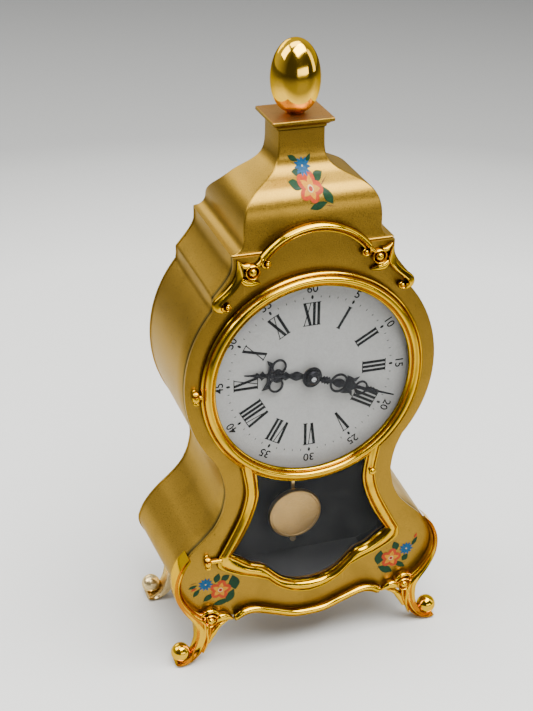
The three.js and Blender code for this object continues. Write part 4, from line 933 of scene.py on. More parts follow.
def round_flower(marks, x, z, radius, turn):
    """Five coral petals, a yellow star, a cream ring and a red eye."""
    strokes = []
    for i in range(5):
        a = math.radians(turn + 72 * i)
        dx, dz = math.sin(a), math.cos(a)
        out = (x + 0.62 * radius * dx, z + 0.62 * radius * dz)
        strokes.append(stroke(marks, "dab", "coral", out, (0.42 * radius, 0.42 * radius),
                              0, 2 + 0.1 * i))
        near = (x + 0.36 * radius * dx, z + 0.36 * radius * dz)
        strokes.append(stroke(marks, "leaf", "yellow", near, (0.27 * radius, 0.44 * radius),
                              turn + 72 * i, 3 + 0.1 * i))
    strokes.append(stroke(marks, "dab", "yellow", (x, z), (0.36 * radius, 0.36 * radius), 0, 4))
    strokes.append(stroke(marks, "dab", "cream", (x, z), (0.24 * radius, 0.24 * radius), 0, 5))
    strokes.append(stroke(marks, "dab", "red", (x, z), (0.16 * radius, 0.16 * radius), 0, 6))
    return strokes


def corn_flower(marks, x, z, radius):
    """A ragged blue flower with a pale middle."""
    strokes = []
    for i in range(11):
        turn = 360 * i / 11
        a = math.radians(turn)
        length = radius * (0.5 if i % 2 else 0.42)
        at = (x + 0.55 * radius * math.sin(a), z + 0.55 * radius * math.cos(a))
        strokes.append(stroke(marks, "leaf", "blue", at, (0.22 * radius, length), turn,
                              2 + 0.1 * i))
    strokes.append(stroke(marks, "dab", "blue", (x, z), (0.4 * radius, 0.4 * radius), 0, 3.5))
    strokes.append(stroke(marks, "dab", "cream", (x, z), (0.1 * radius, 0.1 * radius), 0, 5))
    return strokes


def spray(marks, flower, blue, leaves, stems, bud):
    """A round flower, a cornflower, their leaves and stems, and a small bud."""
    strokes = round_flower(marks, *flower) + corn_flower(marks, *blue)
    for k, (x, z, half_width, half_length, turn) in enumerate(leaves):
        strokes.append(stroke(marks, "leaf", "green", (x, z), (half_width, half_length), turn,
                              1 + 0.1 * k))
    for k, (x, z, half_length, turn) in enumerate(stems):
        strokes.append(stroke(marks, "leaf", "brown", (x, z), (0.16, half_length), turn,
                              0.1 * k))
    if bud:
        strokes.append(stroke(marks, "leaf", "coral", bud[:2], (0.5, 1.0), bud[2], 2))
    return joined(*strokes)


def make_transfers():
    """The left, right and top sprays; the top one is bent to the roof's front."""
    marks = brush_marks()
    left = spray(
        marks, (-28.2, -69.1, 3.3, 12), (-32.9, -66.2, 2.4),
        [(-23.8, -67.2, 2.1, 2.8, -10), (-26.6, -65, 1.4, 1.6, 60), (-29.2, -64.6, 1.3, 1.8, 20),
         (-32, -71.2, 1.2, 2.1, 55), (-27.8, -73.8, 1.2, 2.9, 80), (-25, -72, 1.6, 2.6, 25),
         (-35.8, -68.8, 0.9, 1.7, 40), (-36.9, -66.4, 0.7, 1.5, 75)],
        [(-23.9, -69.8, 1.6, 65), (-26, -68, 1.8, 30), (-36.8, -65.2, 1.3, 80),
         (-26.6, -72.6, 2, 60)],
        (-36.6, -67.4, 70))
    right = spray(
        marks, (27.8, -69.1, 3.3, 12), (32.9, -66.5, 2.4),
        [(23.9, -68.2, 2.0, 2.7, 10), (29.2, -64.8, 1.5, 1.8, -20), (26, -73, 1.6, 2.9, -60),
         (30.8, -72, 1.1, 2.4, -55), (32.6, -69.8, 1.3, 1.5, 40), (35.6, -64.3, 0.8, 1.8, 30)],
        [(23.8, -71.6, 1.4, 20), (31.2, -72.2, 1.8, 70), (34.9, -65.4, 1.6, 35)],
        (35.9, -62.2, 25))
    top = spray(
        marks, (-0.1, 56.5, 3.4, 20), (-0.4, 60.9, 2.4),
        [(-3.9, 57.4, 1.2, 2.0, 110), (4.4, 54.6, 1.5, 2.6, -30), (1.5, 52.3, 1.3, 2.7, 75),
         (3.1, 58.7, 1.1, 1.9, 70), (-2.4, 59.6, 0.9, 1.5, 100), (-2.9, 63, 0.9, 1.7, 120),
         (1.6, 62.6, 0.7, 1.4, 30)],
        [(4.2, 57.6, 1.8, 60), (4.9, 51.9, 1.8, 100)],
        None)
    pick(top)
    all_points()
    bpy.ops.mesh.subdivide(number_cuts=4)
    bpy.ops.object.mode_set(mode="OBJECT")
    widths = hood_line()
    for vertex in top.data.vertices:
        _, y, z = vertex.co
        for (w0, z0), (w1, z1) in zip(widths, widths[1:]):
            if z0 <= z <= z1 and z1 > z0:
                vertex.co.y = y + roof_front(w0 + (w1 - w0) * (z - z0) / (z1 - z0)) - 0.06
    for obj, side in ((left, "left"), (right, "right"), (top, "top")):
        settle(obj, f"{side}_flowers", "case", [f"{side}_decal"])
    for mark in marks.values():
        bpy.data.objects.remove(mark)


# ---- Front door ----
RING = [(33.9, BACK), (33.95, -1.2), (33.8, -1.6), (33.45, -1.85), (33.15, -1.7), (33.0, -1.4),
        (32.85, -1.75), (32.6, -2.4), (32.2, -2.85), (31.7, -3.05), (31.2, -2.95),
        (30.85, -2.6), (30.65, -2.1), (30.55, -1.75), (30.35, -2.0), (30.05, -2.15),
        (29.78, -2.0), (29.6, -1.65), (29.6, -0.9), (30.6, -0.9), (30.6, BACK)]
MOULD = [(0, -0.4), (0, -1.1), (0.03, -1.5), (0.1, -1.7), (0.17, -1.55), (0.21, -1.25),
         (0.26, -1.6), (0.36, -2.25), (0.48, -2.5), (0.6, -2.4), (0.72, -1.95), (0.78, -1.45),
         (0.82, -1.3), (0.88, -1.55), (0.95, -1.5), (1, -1.1), (1, -0.4)]
HINGES = {"upper": (-35.3, -0.5), "lower": (-32.4, -57.6)}
PIN_Y = -1.5


def hinge_frame(place):
    """Turns an upright piece at the middle onto the leaning hinge line."""
    (x0, z0), (x1, z1) = HINGES["lower"], HINGES["upper"]
    lean = math.atan2(x1 - x0, z1 - z0)
    return Matrix.Translation((place[0], PIN_Y, place[1])) @ Matrix.Rotation(lean, 4, "Y")


def make_door():
    """The dial ring and the window moulding, with a knuckle and an arm at each hinge."""
    ring = turned("door_casting", RING, (0, 0, 0), steps=192)
    inner, outer = pane_lines()
    inner = inner + mirrored(inner)[1:]
    outer = outer + mirrored(outer)[1:]
    mould = between("door_casting", inner, outer, MOULD)
    parts = [ring, mould]
    eye = [(0.62, -0.7), (1.02, -0.7), (1.1, -0.55), (1.1, 0.55), (1.02, 0.7), (0.62, 0.7)]
    for place, reach in ((HINGES["upper"], -33.4), (HINGES["lower"], -28.2)):
        knuckle = turned("door_casting", eye, (0, 0, 0), upright=True, steps=28)
        knuckle.data.transform(hinge_frame(place))
        arm = bead("door_casting", [(place[0] + 0.8, place[1]), (reach, place[1])], [1.3, 1.6],
                   1.6)
        parts += [knuckle, arm]
    obj = joined(*parts)
    settle(obj, "door_casting", "front_door", ["door_frame"],
           FINISH["relief_gold"])


def make_dial_glass():
    """A shallow dome: its outer face, then its inner face half a millimetre behind."""
    edge, rise = 30.5, 2.6
    curve = (edge ** 2 + rise ** 2) / (2 * rise)
    profile = []
    for lift, order in ((0.0, range(0, 13)), (0.5, range(12, -1, -1))):
        for i in order:
            r = edge * i / 12
            y = -0.45 - rise + curve - math.sqrt(curve ** 2 - r ** 2) + lift
            profile.append((r, y))
    obj = turned("dome_glass", profile, (0, 0, 0), steps=128)
    settle(obj, "dome_glass", "front_door", ["dial_glass"], FINISH["glass"], 60)


def make_knob_and_posts():
    """The door's pull, and the two posts that carry its pins."""
    knob = turned("pull_knob", [(0, -2.2), (0.75, -2.3), (0.6, -2.7), (0.55, -3.0), (0.95, -3.4),
                                (1.12, -3.9), (0.95, -4.4), (0.5, -4.7), (0, -4.78)],
                  (18.5, 0, -33), steps=40)
    settle(knob, "pull_knob", "front_door", ["door_knob"],
           FINISH["polished_gold"])
    for end, place in HINGES.items():
        shape = [(0, -2.25), (0.55, -2.15), (0.9, -1.85), (0.95, -1.5), (0.8, -1.15),
                 (0.5, -0.95), (0.42, -0.85), (0.42, 0.85), (0.5, 0.95), (0.8, 1.15), (0.95, 1.5),
                 (0.9, 1.85), (0.55, 2.15), (0, 2.25)]
        post = turned(f"{end}_post", shape, (0, 0, 0), upright=True, steps=32)
        post.data.transform(hinge_frame(place))
        stems = []
        for side in (1, -1):
            spot = hinge_frame(place) @ Vector((0, 0, 1.5 * side))
            stem = turned(f"{end}_post", [(0, BACK), (0.75, BACK), (0.5, -0.7), (0.5, PIN_Y),
                                          (0, PIN_Y)], (spot.x, 0, spot.z), steps=20)
            stems.append(stem)
        settle(joined(post, *stems), f"{end}_post", "case",
               [f"{end}_hinge_post"], FINISH["polished_gold"])


# ---- Dial ----
DIAL_FACE = 1.5
MINUTE_FIGURES = 27.55  # radius of their middles
NUMERALS = ["XII", "I", "II", "III", "IIII", "V", "VI", "VII", "VIII", "IX", "X", "XI"]
ADVANCE = {"I": 1.35, "V": 2.5, "X": 2.7}


def strokes_of(text, height):
    """Straight strokes (x0, z0, x1, z1, width) of a Roman numeral about its middle."""
    thick, thin = 0.86, 0.27
    x = -sum(ADVANCE[letter] for letter in text) / 2
    low, high = -height / 2, height / 2
    marks = []
    for letter in text:
        wide = ADVANCE[letter]
        left, middle, right = x + 0.3, x + wide / 2, x + wide - 0.3
        if letter == "I":
            marks.append((middle, low, middle, high, thick))
        if letter == "V":
            marks.append((left + 0.1, high, middle, low, thick))
            marks.append((right - 0.1, high, middle + 0.1, low, thin))
        if letter == "X":
            marks.append((left + 0.1, high, right - 0.1, low, thick))
            marks.append((right - 0.1, high, left + 0.1, low, thin))
        marks.append((x + 0.02, high, x + wide - 0.02, high, 0.26))
        if letter != "V":
            marks.append((x + 0.02, low, x + wide - 0.02, low, 0.26))
        x += wide
    return marks


def outward(angle, radius):
    """A frame on the dial at an angle clockwise from twelve, its top pointing outwards."""
    return Matrix.Rotation(angle, 4, "Y") @ Matrix.Translation((0, 0, radius))


def make_dial(sizes):
    """The silvered disc, and its numerals, dots and minute numbers."""
    profile = [(0, DIAL_FACE), (29, DIAL_FACE), (33, DIAL_FACE), (33, DIAL_FACE + 0.5),
               (0, DIAL_FACE + 0.5)]
    disc = turned("silvered_dial", profile, (0, 0, 0), steps=128)
    settle(disc, "silvered_dial", "case", ["dial_plate"],
           FINISH["dial_silver"])

    bar = sheet("bar", [(-0.5, -0.5), (0.5, -0.5), (0.5, 0.5), (-0.5, 0.5)], [],
                DIAL_FACE - 0.05, 0.03)
    dot = sheet("dot", arc(0, 0, 1, 0, 342, 19), [], DIAL_FACE - 0.05, 0.03)
    marks = []
    low, high = sizes.figure_low / MM, sizes.figure_high / MM
    for hour, text in enumerate(NUMERALS):
        base = outward(math.radians(30 * hour), (low + high) / 2)
        for x0, z0, x1, z1, width in strokes_of(text, high - low - 0.3):
            length = math.hypot(x1 - x0, z1 - z0)
            lean = math.atan2(x1 - x0, z1 - z0)
            spot = (Matrix.Translation(((x0 + x1) / 2, 0, (z0 + z1) / 2))
                    @ Matrix.Rotation(lean, 4, "Y") @ Matrix.Diagonal((width, 1, length, 1)))
            marks.append(copied(bar, "mark", base @ spot))
    for minute in range(60):
        size = (0.36, 0.62) if minute % 5 == 0 else (0.11, 0.34)
        spot = outward(math.radians(6 * minute), sizes.dot_radius / MM)
        marks.append(copied(dot, "mark", spot @ Matrix.Diagonal((size[0], 1, size[1], 1))))
    for minute in range(5, 65, 5):
        marks.append(minute_figure(minute, sizes))
    for mark in marks:
        paint_with(mark, FINISH["ink"])
    obj = joined(*marks)
    settle(obj, "dial_printing", "case", [])
    for tool in (bar, dot):
        bpy.data.objects.remove(tool)


def minute_figure(minute, sizes):
    """One minute number in thin relief, its foot towards the middle."""
    deselect()
    bpy.ops.object.text_add()
    text = bpy.context.object
    text.data.body = str(minute)
    text.data.size = sizes.minute_height / MM
    text.data.align_x = "CENTER"
    text.data.align_y = "CENTER"
    text.data.extrude = 0.015
    text.data.offset = 0.035
    bpy.ops.object.convert(target="MESH")
    obj = bpy.context.object
    stand = Matrix.Rotation(math.radians(90), 4, "X")
    spot = outward(math.radians(6 * minute), MINUTE_FIGURES)
    obj.data.transform(Matrix.Translation((0, DIAL_FACE - 0.035, 0)) @ spot @ stand)
    return obj


# ---- Hands ----
def hand_part(name, half, front, thickness=0.4):
    """A symmetrical flat shape from its right-hand edge, bottom to top."""
    return sheet(name, half + mirrored(half), [], front, thickness, 0.05)


def hand_ring(name, x, z, radius, width, front, stretch=1.0):
    """A pierced loop of a hand."""
    outer = [(x + (px - x) * stretch, pz) for px, pz in arc(x, z, radius, 0, 348, 29)]
    hole = [(x + (px - x) * stretch, pz) for px, pz in arc(x, z, radius - width, 0, 348, 29)]
    return sheet(name, outer, [hole], front, 0.4, 0.05)


def both_sides(part):
    """The part and its left-hand twin."""
    return [part, mirror_copy(part, part.name)]


def make_hour_hand():
    """A hub, lens, beaded stem and a pair of loops with leaves."""
    name = "hour_pointer"
    front = 0.5
    lens = hand_part(name, smooth([(0.5, 2.2), (0.75, 3.0), (1.3, 4.6), (0.75, 6.3),
                                   (0.55, 7)], 14), front)
    stem = hand_part(name, [(0.45, 6.6), (0.95, 7.5), (1.25, 8.0), (0.95, 8.5), (0.5, 8.9),
                            (0.42, 12.6), (0.9, 13.4), (0.45, 14), (0.7, 14.6), (1.35, 15.2),
                            (0.7, 15.8), (0.45, 16.2), (0.8, 16.9), (0.42, 17.5), (0.3, 18.2),
                            (0.14, 20.7)], front + 0.02)
    loop = hand_ring(name, 2.65, 10.5, 2.3, 0.62, front + 0.04, 0.95)
    inner_leaf = sheet(name, smooth([(0.3, 8.6), (1.5, 9.2), (1.9, 10.8), (1.0, 12.2),
                                     (0.3, 12.9)], 14) +
                       smooth([(0.3, 12.9), (0.95, 11.2), (0.9, 9.9), (0.3, 8.6)], 10)[1:-1],
                       [], front + 0.06, 0.36)
    spike = sheet(name, [(2.4, 12.4), (3.5, 12.2), (4.0, 13.4), (4.3, 14.6), (3.1, 13.9),
                         (2.0, 13.4), (0.5, 13.6), (0.5, 12.7)], [], front + 0.05, 0.34)
    hub = sheet(name, arc(0, 0, 2.5, 0, 351, 39), [arc(0, 0, 1.6, 0, 345, 23)], front, 0.4, 0.05)
    parts = [hub, lens, stem]
    for part in (loop, inner_leaf, spike):
        parts += both_sides(part)
    obj = joined(*parts)
    obj.data.transform(Matrix.Rotation(HOUR_ANGLE, 4, "Y") @ HAND_WIDTH)
    settle(obj, name, "hour_wheel", ["hour_hand"], FINISH["blued_steel"])


def make_minute_hand():
    """A beaded neck, two loops in line, barbs and a long point."""
    name = "minute_pointer"
    front = -0.2
    neck = hand_part(name, [(0.5, 2), (0.6, 3.2), (1.15, 3.6), (0.7, 4), (1.2, 4.5), (0.7, 4.9),
                            (1.15, 5.4), (0.6, 5.8), (0.5, 6.6)], front)
    loop = hand_ring(name, 0, 8.9, 2.8, 0.64, front + 0.03, 1.0)
    drop = hand_part(name, smooth([(0.05, 6.4), (0.9, 7.6), (1.25, 9.2), (0.9, 10.4),
                                   (0.6, 11)], 12), front + 0.05)
    leaf = hand_part(name, smooth([(0.6, 10.8), (1.4, 11.2), (1.9, 12.4), (1.3, 13.6),
                                   (0.55, 14.6)], 16), front + 0.02)
    barb = sheet(name, [(1.2, 11.2), (2.6, 10.6), (2.5, 11.9), (2.2, 13.2), (3.0, 14.6),
                        (1.4, 13.9)], [], front + 0.06, 0.3)
    ring = hand_ring(name, 0, 16.4, 2.1, 0.56, front + 0.03, 1.0)
    core = hand_part(name, [(0.35, 14.2), (0.5, 15.8), (0.3, 17.6), (0.35, 18.2)], front + 0.04)
    point = hand_part(name, [(0.4, 17.9), (1.0, 18.5), (0.6, 19), (1.0, 19.5), (0.6, 20),
                             (0.9, 20.5), (0.5, 21), (0.55, 21.8), (0.3, 22.4), (0.24, 24.6),
                             (0.16, 27.7)], front)
    hub = sheet(name, arc(0, 0, 2.9, 0, 351, 39), [arc(0, 0, 1.1, 0, 345, 23)], front, 0.4,
                0.05)
    obj = joined(hub, neck, loop, drop, leaf, ring, core, point, *both_sides(barb))
    obj.data.transform(Matrix.Rotation(MINUTE_ANGLE, 4, "Y") @ HAND_WIDTH)
    settle(obj, name, "hands_arbor", ["minute_hand"], FINISH["blued_steel"])
    nut = turned("hand_cap", [(0, -0.5), (2.15, -0.5), (2.2, -0.75), (1.9, -1.15), (1.3, -1.4),
                              (0.6, -1.52), (0, -1.55)], (0, 0, 0), steps=48)
    settle(nut, "hand_cap", "hands_arbor", ["hand_nut"], FINISH["blued_steel"])


def make_bob():
    """A shallow dished disc with a raised rim."""
    profile = [(0, 12.45), (6.6, 12.25), (7.6, 12.35), (7.8, 12.2), (8.3, 12.3), (8.65, 12.8),
               (8.7, 13.4), (8.4, 14.2), (0, 14.6)]
    obj = turned("pendulum_disc", profile, (0, 0, -55), steps=96)
    settle(obj, "pendulum_disc", "pendulum", ["pendulum_bob"], FINISH["bob_gold"])


# ---- Back of the case ----
def rear_barrel(name, low, height):
    """A hinge barrel round the rear door's pin."""
    high = low + height
    return turned(name, [(0.75, low), (1.2, low), (1.3, low + 0.1), (1.3, high - 0.1),
                         (1.2, high), (0.75, high)], (-27.6, 41.1, 0), upright=True, steps=32)


def make_back(sizes):
    """The rear sheet, the round winding door hinged on it, and four slotted screws."""
    line = moved_sideways(case_side(), -1.5)
    edge = [(flared(x, 39, z), min(z, 40.2)) for x, z in line]
    holes = [arc(0, 2, 23, 0, 355, 71)]
    holes += [arc(x, z, 1.3, 0, 340, 17) for x, z in BACK_SCREWS]
    plate = sheet("rear_sheet", edge + mirrored(edge), holes, 38.3, sizes.wall / MM, 0.12)
    barrels = [rear_barrel("rear_sheet", low, 3) for low in (6.3, -5.3)]
    settle(joined(plate, *barrels), "rear_sheet", "case", ["rear_panel"],
           FINISH["satin_gold"])

    disc = [(0, 39.9), (24.6, 39.9), (25, 40.1), (25, 40.5), (24.4, 40.8), (23.6, 40.6),
            (23.2, 40.5), (22.4, 40.5), (21.8, 40.75), (21, 40.8), (6, 40.9), (0, 40.9)]
    door = turned("winding_door", disc, (0, 0, 2), steps=144)
    leaf = sheet("winding_door", [(-27.4, -1.9), (-22.5, -1.9), (-22.5, 5.9), (-27.4, 5.9)],
                 [], 39.95, 0.75, 0.1)
    barrel = rear_barrel("winding_door", -1.95, 7.9)
    knob = turned("winding_door", [(0, 40.6), (1.3, 40.6), (1.0, 41.2), (1.2, 41.7), (1.9, 42.1),
                                   (2.0, 42.6), (1.6, 43.0), (0, 43.15)], (21, 0, 2), steps=40)
    settle(joined(door, leaf, barrel, knob), "winding_door", "rear_door",
           ["rear_door"], FINISH["satin_gold"])
    for k, (x, z) in enumerate(BACK_SCREWS, 1):
        head = turned("screw", [(0, 37), (0.95, 37), (0.95, 39.8), (2, 39.8), (2.0, 40.1),
                                (1.6, 40.5), (0.9, 40.68), (0, 40.7)], (x, 0, z), steps=32)
        slit = sheet("slit", [(x - 2.4, z - 0.22), (x + 2.4, z - 0.22), (x + 2.4, z + 0.22),
                              (x - 2.4, z + 0.22)], [], 40.25, 1)
        pick(head)
        cut = head.modifiers.new("Slot", "BOOLEAN")
        cut.object = slit
        cut.solver = "EXACT"
        bpy.ops.object.modifier_apply(modifier=cut.name)
        bpy.data.objects.remove(slit)
        settle(head, f"back_screw_{k}", "case", [f"rear_panel_screw_{k}"],
               FINISH["plate_brass"])


def finish_works():
    """Every frame piece that stays in view gets the finish of its own slot."""
    slots = {part["node"]: part["material_slot"] for part in frame["record"]["subparts"]}
    for name, obj in frame["nodes"].items():
        if not obj.hide_render:
            paint_with(obj, FINISH[slots[name]])


# ---- Stage ----
# Each lamp: name, place in metres, width and height, watts and colour.
LAMPS = [
    ("key", (-0.62, 0.12, 0.72), (0.5, 0.5), 6.5, (1.0, 0.985, 0.96)),
    ("overhead", (0.15, -0.26, 0.80), (0.8, 0.45), 18.5, (1, 1, 1)),
    ("window", (0.28, -1.00, 0.28), (1.0, 0.24), 4.0, (1, 1, 1)),
    ("back", (-0.25, 1.0, 0.55), (0.7, 0.4), 3.5, (1, 1, 1)),
    ("rear", (0.0, 0.1, 0.95), (0.7, 0.4), 7.5, (1, 1, 1)),
    ("fill", (0.9, -0.2, 0.45), (0.3, 0.7), 2.0, (1, 1, 1)),
]
CAMERA_PLACE = (-133.4, -361.9, 208.3)
CAMERA_RIGHT = (0.9509, -0.3096, 0.0075)
CAMERA_FORWARD = (0.2777, 0.8418, -0.4629)
CAMERA_LENS = 76.7


def floor_paint(colour):
    """Pale near the clock; painted shade darkens it with distance, and a painted shadow in front
    of it.
    """
    mix = Recipe("floor_painted_shade", colour, 0.0, 0.6)
    cloud = mix.noise(4, 2.0)
    tone = mix.tint(mix.spread(cloud, 0.3, 0.7), shade(colour, 0.97), shade(colour, 1.03))
    reach = mix.nodes.new("ShaderNodeVectorMath")
    reach.operation = "LENGTH"
    mix.links.new(mix.stretched((1, 1, 0)), reach.inputs[0])
    reach = reach.outputs["Value"]
    # Painted shade: the floor darkens with distance from the clock.
    tone = mix.tint(mix.spread(reach, 0.28, 0.46), tone, shade(colour, 0.52))
    tone = mix.tint(mix.spread(reach, 0.42, 0.95), tone, shade(colour, 0.26))
    # Painted shadow: the floor in front of the clock is darkened.
    tone = mix.tint(mix.spread(mix.axis("Y"), -0.09, -0.26), tone, shade(colour, 0.22))
    mix.use("Base Color", tone)
    return mix.material


def soft_box(aim, name, at, size, watts, colour):
    """A rectangular lamp out of the camera's sight, turned to its aim."""
    lamp = bpy.data.lights.new(name, "AREA")
    lamp.shape = "RECTANGLE"
    lamp.size, lamp.size_y = size
    lamp.energy = watts
    lamp.color = colour
    obj = bpy.data.objects.new(name, lamp)
    bpy.context.collection.objects.link(obj)
    obj.location = at
    obj.visible_camera = False
    obj.rotation_euler = (Vector(aim) - Vector(at)).to_track_quat("-Z", "Y").to_euler()


def set_stage(colours):
    """A wide floor, pale near the clock and darkened away from it by painted shade, soft lights
    round it and the camera.
    """
    deselect()
    bpy.ops.mesh.primitive_grid_add(x_subdivisions=8, y_subdivisions=8, size=30)
    floor = name_it("floor")
    paint_with(floor, floor_paint(tuple(colours.stage)))

    middle = PLACE @ Vector((0, 15, 0))
    for lamp in LAMPS:
        soft_box(middle, *lamp)

    world = bpy.data.worlds.new("studio")
    world.use_nodes = True
    bpy.context.scene.world = world
    nodes, links = world.node_tree.nodes, world.node_tree.links
    back = nodes["Background"]
    back.inputs["Color"].default_value = (0.97, 0.98, 1.0, 1)
    split = nodes.new("ShaderNodeSeparateXYZ")
    fade = nodes.new("ShaderNodeMapRange")
    for socket, number in (("From Min", -0.5), ("From Max", 0.7), ("To Min", 0.07),
                           ("To Max", 0.75)):
        fade.inputs[socket].default_value = number
    links.new(nodes.new("ShaderNodeTexCoord").outputs["Generated"], split.inputs["Vector"])
    links.new(split.outputs["Y"], fade.inputs["Value"])
    links.new(fade.outputs["Result"], back.inputs["Strength"])

    camera = bpy.data.cameras.new("camera")
    camera.lens = CAMERA_LENS
    camera.sensor_width = 36
    camera.clip_start = 0.01
    obj = bpy.data.objects.new("camera", camera)
    bpy.context.collection.objects.link(obj)
    right = Vector(CAMERA_RIGHT).normalized()
    forward = Vector(CAMERA_FORWARD).normalized()
    up = right.cross(forward)
    turn = Matrix((right, up, -forward)).transposed().to_4x4()
    obj.matrix_world = Matrix.Translation(PLACE @ Vector(CAMERA_PLACE)) @ turn
    bpy.context.scene.camera = obj


# ---- Operators ----
class CLOCK_OT_finishes(bpy.types.Operator):
    """Mix every finish from its colour"""
    bl_idname = "clock.finishes"
    bl_label = "Finishes"

    def execute(self, context):
        FINISH.update(mix_finishes(context.scene.clock_finishes))
        return {"FINISHED"}


class CLOCK_OT_front_panel(bpy.types.Operator):
    """Cut the front panel with its dial hole and window"""
    bl_idname = "clock.front_panel"
    bl_label = "Front panel"

    def execute(self, context):
        make_front_panel(context.scene.clock_case)
        return {"FINISHED"}


class CLOCK_OT_case_shell(bpy.types.Operator):
    """Bend the strip that runs round the case"""
    bl_idname = "clock.case_shell"
    bl_label = "Case shell"

    def execute(self, context):
        make_shell(context.scene.clock_case)
        return {"FINISHED"}


class CLOCK_OT_roof(bpy.types.Operator):
    """Raise the bell roof"""
    bl_idname = "clock.roof"
    bl_label = "Roof"

    def execute(self, context):
        make_roof(context.scene.clock_case)
        return {"FINISHED"}


class CLOCK_OT_cap(bpy.types.Operator):
    """Set the square cap on the roof"""
    bl_idname = "clock.cap"
    bl_label = "Cap"

    def execute(self, context):
        make_cap()
        return {"FINISHED"}


class CLOCK_OT_egg(bpy.types.Operator):
    """Turn the egg on top"""
    bl_idname = "clock.egg"
    bl_label = "Egg finial"

    def execute(self, context):
        make_egg(context.scene.clock_case)
        return {"FINISHED"}


class CLOCK_OT_arch(bpy.types.Operator):
    """Lay the arched bead over the dial"""
    bl_idname = "clock.arch"
    bl_label = "Arch moulding"

    def execute(self, context):
        make_arch(context.scene.clock_mouldings)
        return {"FINISHED"}


class CLOCK_OT_corner_scrolls(bpy.types.Operator):
    """Model the two leafy shoulders"""
    bl_idname = "clock.corner_scrolls"
    bl_label = "Corner scrolls"

    def execute(self, context):
        make_corner_scrolls(context.scene.clock_mouldings)
        return {"FINISHED"}


class CLOCK_OT_apron(bpy.types.Operator):
    """Lay the bead along the foot of the panel"""
    bl_idname = "clock.apron"
    bl_label = "Apron moulding"

    def execute(self, context):
        make_apron(context.scene.clock_mouldings)
        return {"FINISHED"}


class CLOCK_OT_front_legs(bpy.types.Operator):
    """Model the two scrolled legs with their balls"""
    bl_idname = "clock.front_legs"
    bl_label = "Front legs"

    def execute(self, context):
        make_front_legs(context.scene.clock_mouldings)
        return {"FINISHED"}


class CLOCK_OT_rear_feet(bpy.types.Operator):
    """Model the two feet at the back"""
    bl_idname = "clock.rear_feet"
    bl_label = "Rear feet"

    def execute(self, context):
        make_rear_feet(context.scene.clock_mouldings)
        return {"FINISHED"}


class CLOCK_OT_flowers(bpy.types.Operator):
    """Paint the three flower sprays"""
    bl_idname = "clock.flowers"
    bl_label = "Painted flowers"

    def execute(self, context):
        make_transfers()
        return {"FINISHED"}


class CLOCK_OT_front_door(bpy.types.Operator):
    """Cast the ring and window moulding in one"""
    bl_idname = "clock.front_door"
    bl_label = "Front door"

    def execute(self, context):
        make_door()
        return {"FINISHED"}


class CLOCK_OT_dial_glass(bpy.types.Operator):
    """Dome the dial glass"""
    bl_idname = "clock.dial_glass"
    bl_label = "Dial glass"

    def execute(self, context):
        make_dial_glass()
        return {"FINISHED"}


class CLOCK_OT_door_fittings(bpy.types.Operator):
    """Turn the pull and the two hinge posts"""
    bl_idname = "clock.door_fittings"
    bl_label = "Door fittings"

    def execute(self, context):
        make_knob_and_posts()
        return {"FINISHED"}


class CLOCK_OT_dial(bpy.types.Operator):
    """Print the silvered dial"""
    bl_idname = "clock.dial"
    bl_label = "Dial"

    def execute(self, context):
        make_dial(context.scene.clock_dial)
        return {"FINISHED"}


class CLOCK_OT_hands(bpy.types.Operator):
    """Pierce the two hands"""
    bl_idname = "clock.hands"
    bl_label = "Hands"

    def execute(self, context):
        make_hour_hand()
        make_minute_hand()
        return {"FINISHED"}


class CLOCK_OT_bob(bpy.types.Operator):
    """Turn the pendulum bob"""
    bl_idname = "clock.bob"
    bl_label = "Pendulum bob"

    def execute(self, context):
        make_bob()
        return {"FINISHED"}


class CLOCK_OT_back(bpy.types.Operator):
    """Make the rear sheet, its door and screws"""
    bl_idname = "clock.back"
    bl_label = "Back of the case"

    def execute(self, context):
        make_back(context.scene.clock_case)
        return {"FINISHED"}


class CLOCK_OT_works(bpy.types.Operator):
    """Give the movement its metals"""
    bl_idname = "clock.works"
    bl_label = "Movement finishes"

    def execute(self, context):
        finish_works()
        return {"FINISHED"}


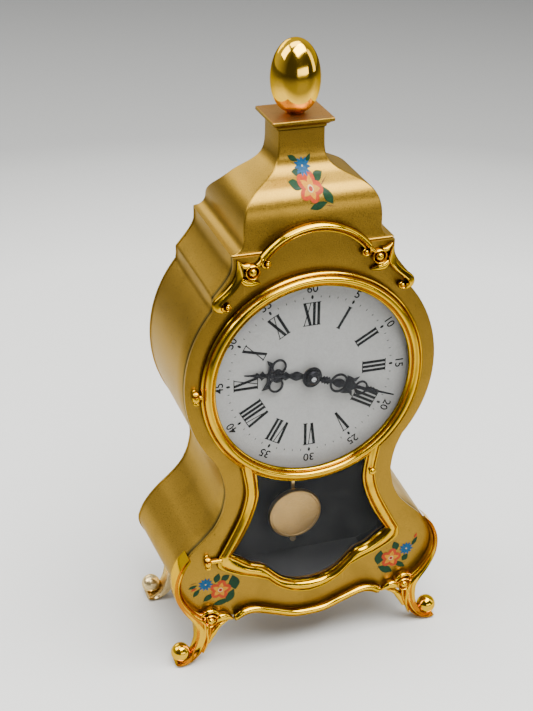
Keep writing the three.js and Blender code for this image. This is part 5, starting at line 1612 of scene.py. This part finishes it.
class CLOCK_OT_stage(bpy.types.Operator):
    """Set the floor, the lights and the camera"""
    bl_idname = "clock.stage"
    bl_label = "Stage"

    def execute(self, context):
        set_stage(context.scene.clock_finishes)
        return {"FINISHED"}


STEPS = (CLOCK_OT_finishes,
         CLOCK_OT_front_panel,
         CLOCK_OT_case_shell,
         CLOCK_OT_roof,
         CLOCK_OT_cap,
         CLOCK_OT_egg,
         CLOCK_OT_arch,
         CLOCK_OT_corner_scrolls,
         CLOCK_OT_apron,
         CLOCK_OT_front_legs,
         CLOCK_OT_rear_feet,
         CLOCK_OT_flowers,
         CLOCK_OT_front_door,
         CLOCK_OT_dial_glass,
         CLOCK_OT_door_fittings,
         CLOCK_OT_dial,
         CLOCK_OT_hands,
         CLOCK_OT_bob,
         CLOCK_OT_back,
         CLOCK_OT_works,
         CLOCK_OT_stage)
SETTINGS = {"clock_case": CaseSizes, "clock_mouldings": MouldingSizes, "clock_dial": DialSizes,
            "clock_finishes": Finishes}


class CLOCK_PT_bench(bpy.types.Panel):
    """Sizes, colours and making steps of the clock"""
    bl_label = "Mantel clock"
    bl_idname = "CLOCK_PT_bench"
    bl_space_type = "VIEW_3D"
    bl_region_type = "UI"
    bl_category = "Clock"

    def draw(self, context):
        for key, group in SETTINGS.items():
            box = self.layout.box()
            for name in group.__annotations__:
                box.prop(getattr(context.scene, key), name)
        for step in STEPS:
            self.layout.operator(step.bl_idname)


def register():
    for cls in (*SETTINGS.values(), *STEPS, CLOCK_PT_bench):
        bpy.utils.register_class(cls)
    for key, group in SETTINGS.items():
        setattr(bpy.types.Scene, key, bpy.props.PointerProperty(type=group))


def unregister():
    for key in SETTINGS:
        delattr(bpy.types.Scene, key)
    for cls in (CLOCK_PT_bench, *reversed(STEPS), *reversed(list(SETTINGS.values()))):
        bpy.utils.unregister_class(cls)


def main():
    register()
    for step in STEPS:
        group, name = step.bl_idname.split(".")
        getattr(getattr(bpy.ops, group), name)()


if __name__ == "__main__":
    main()
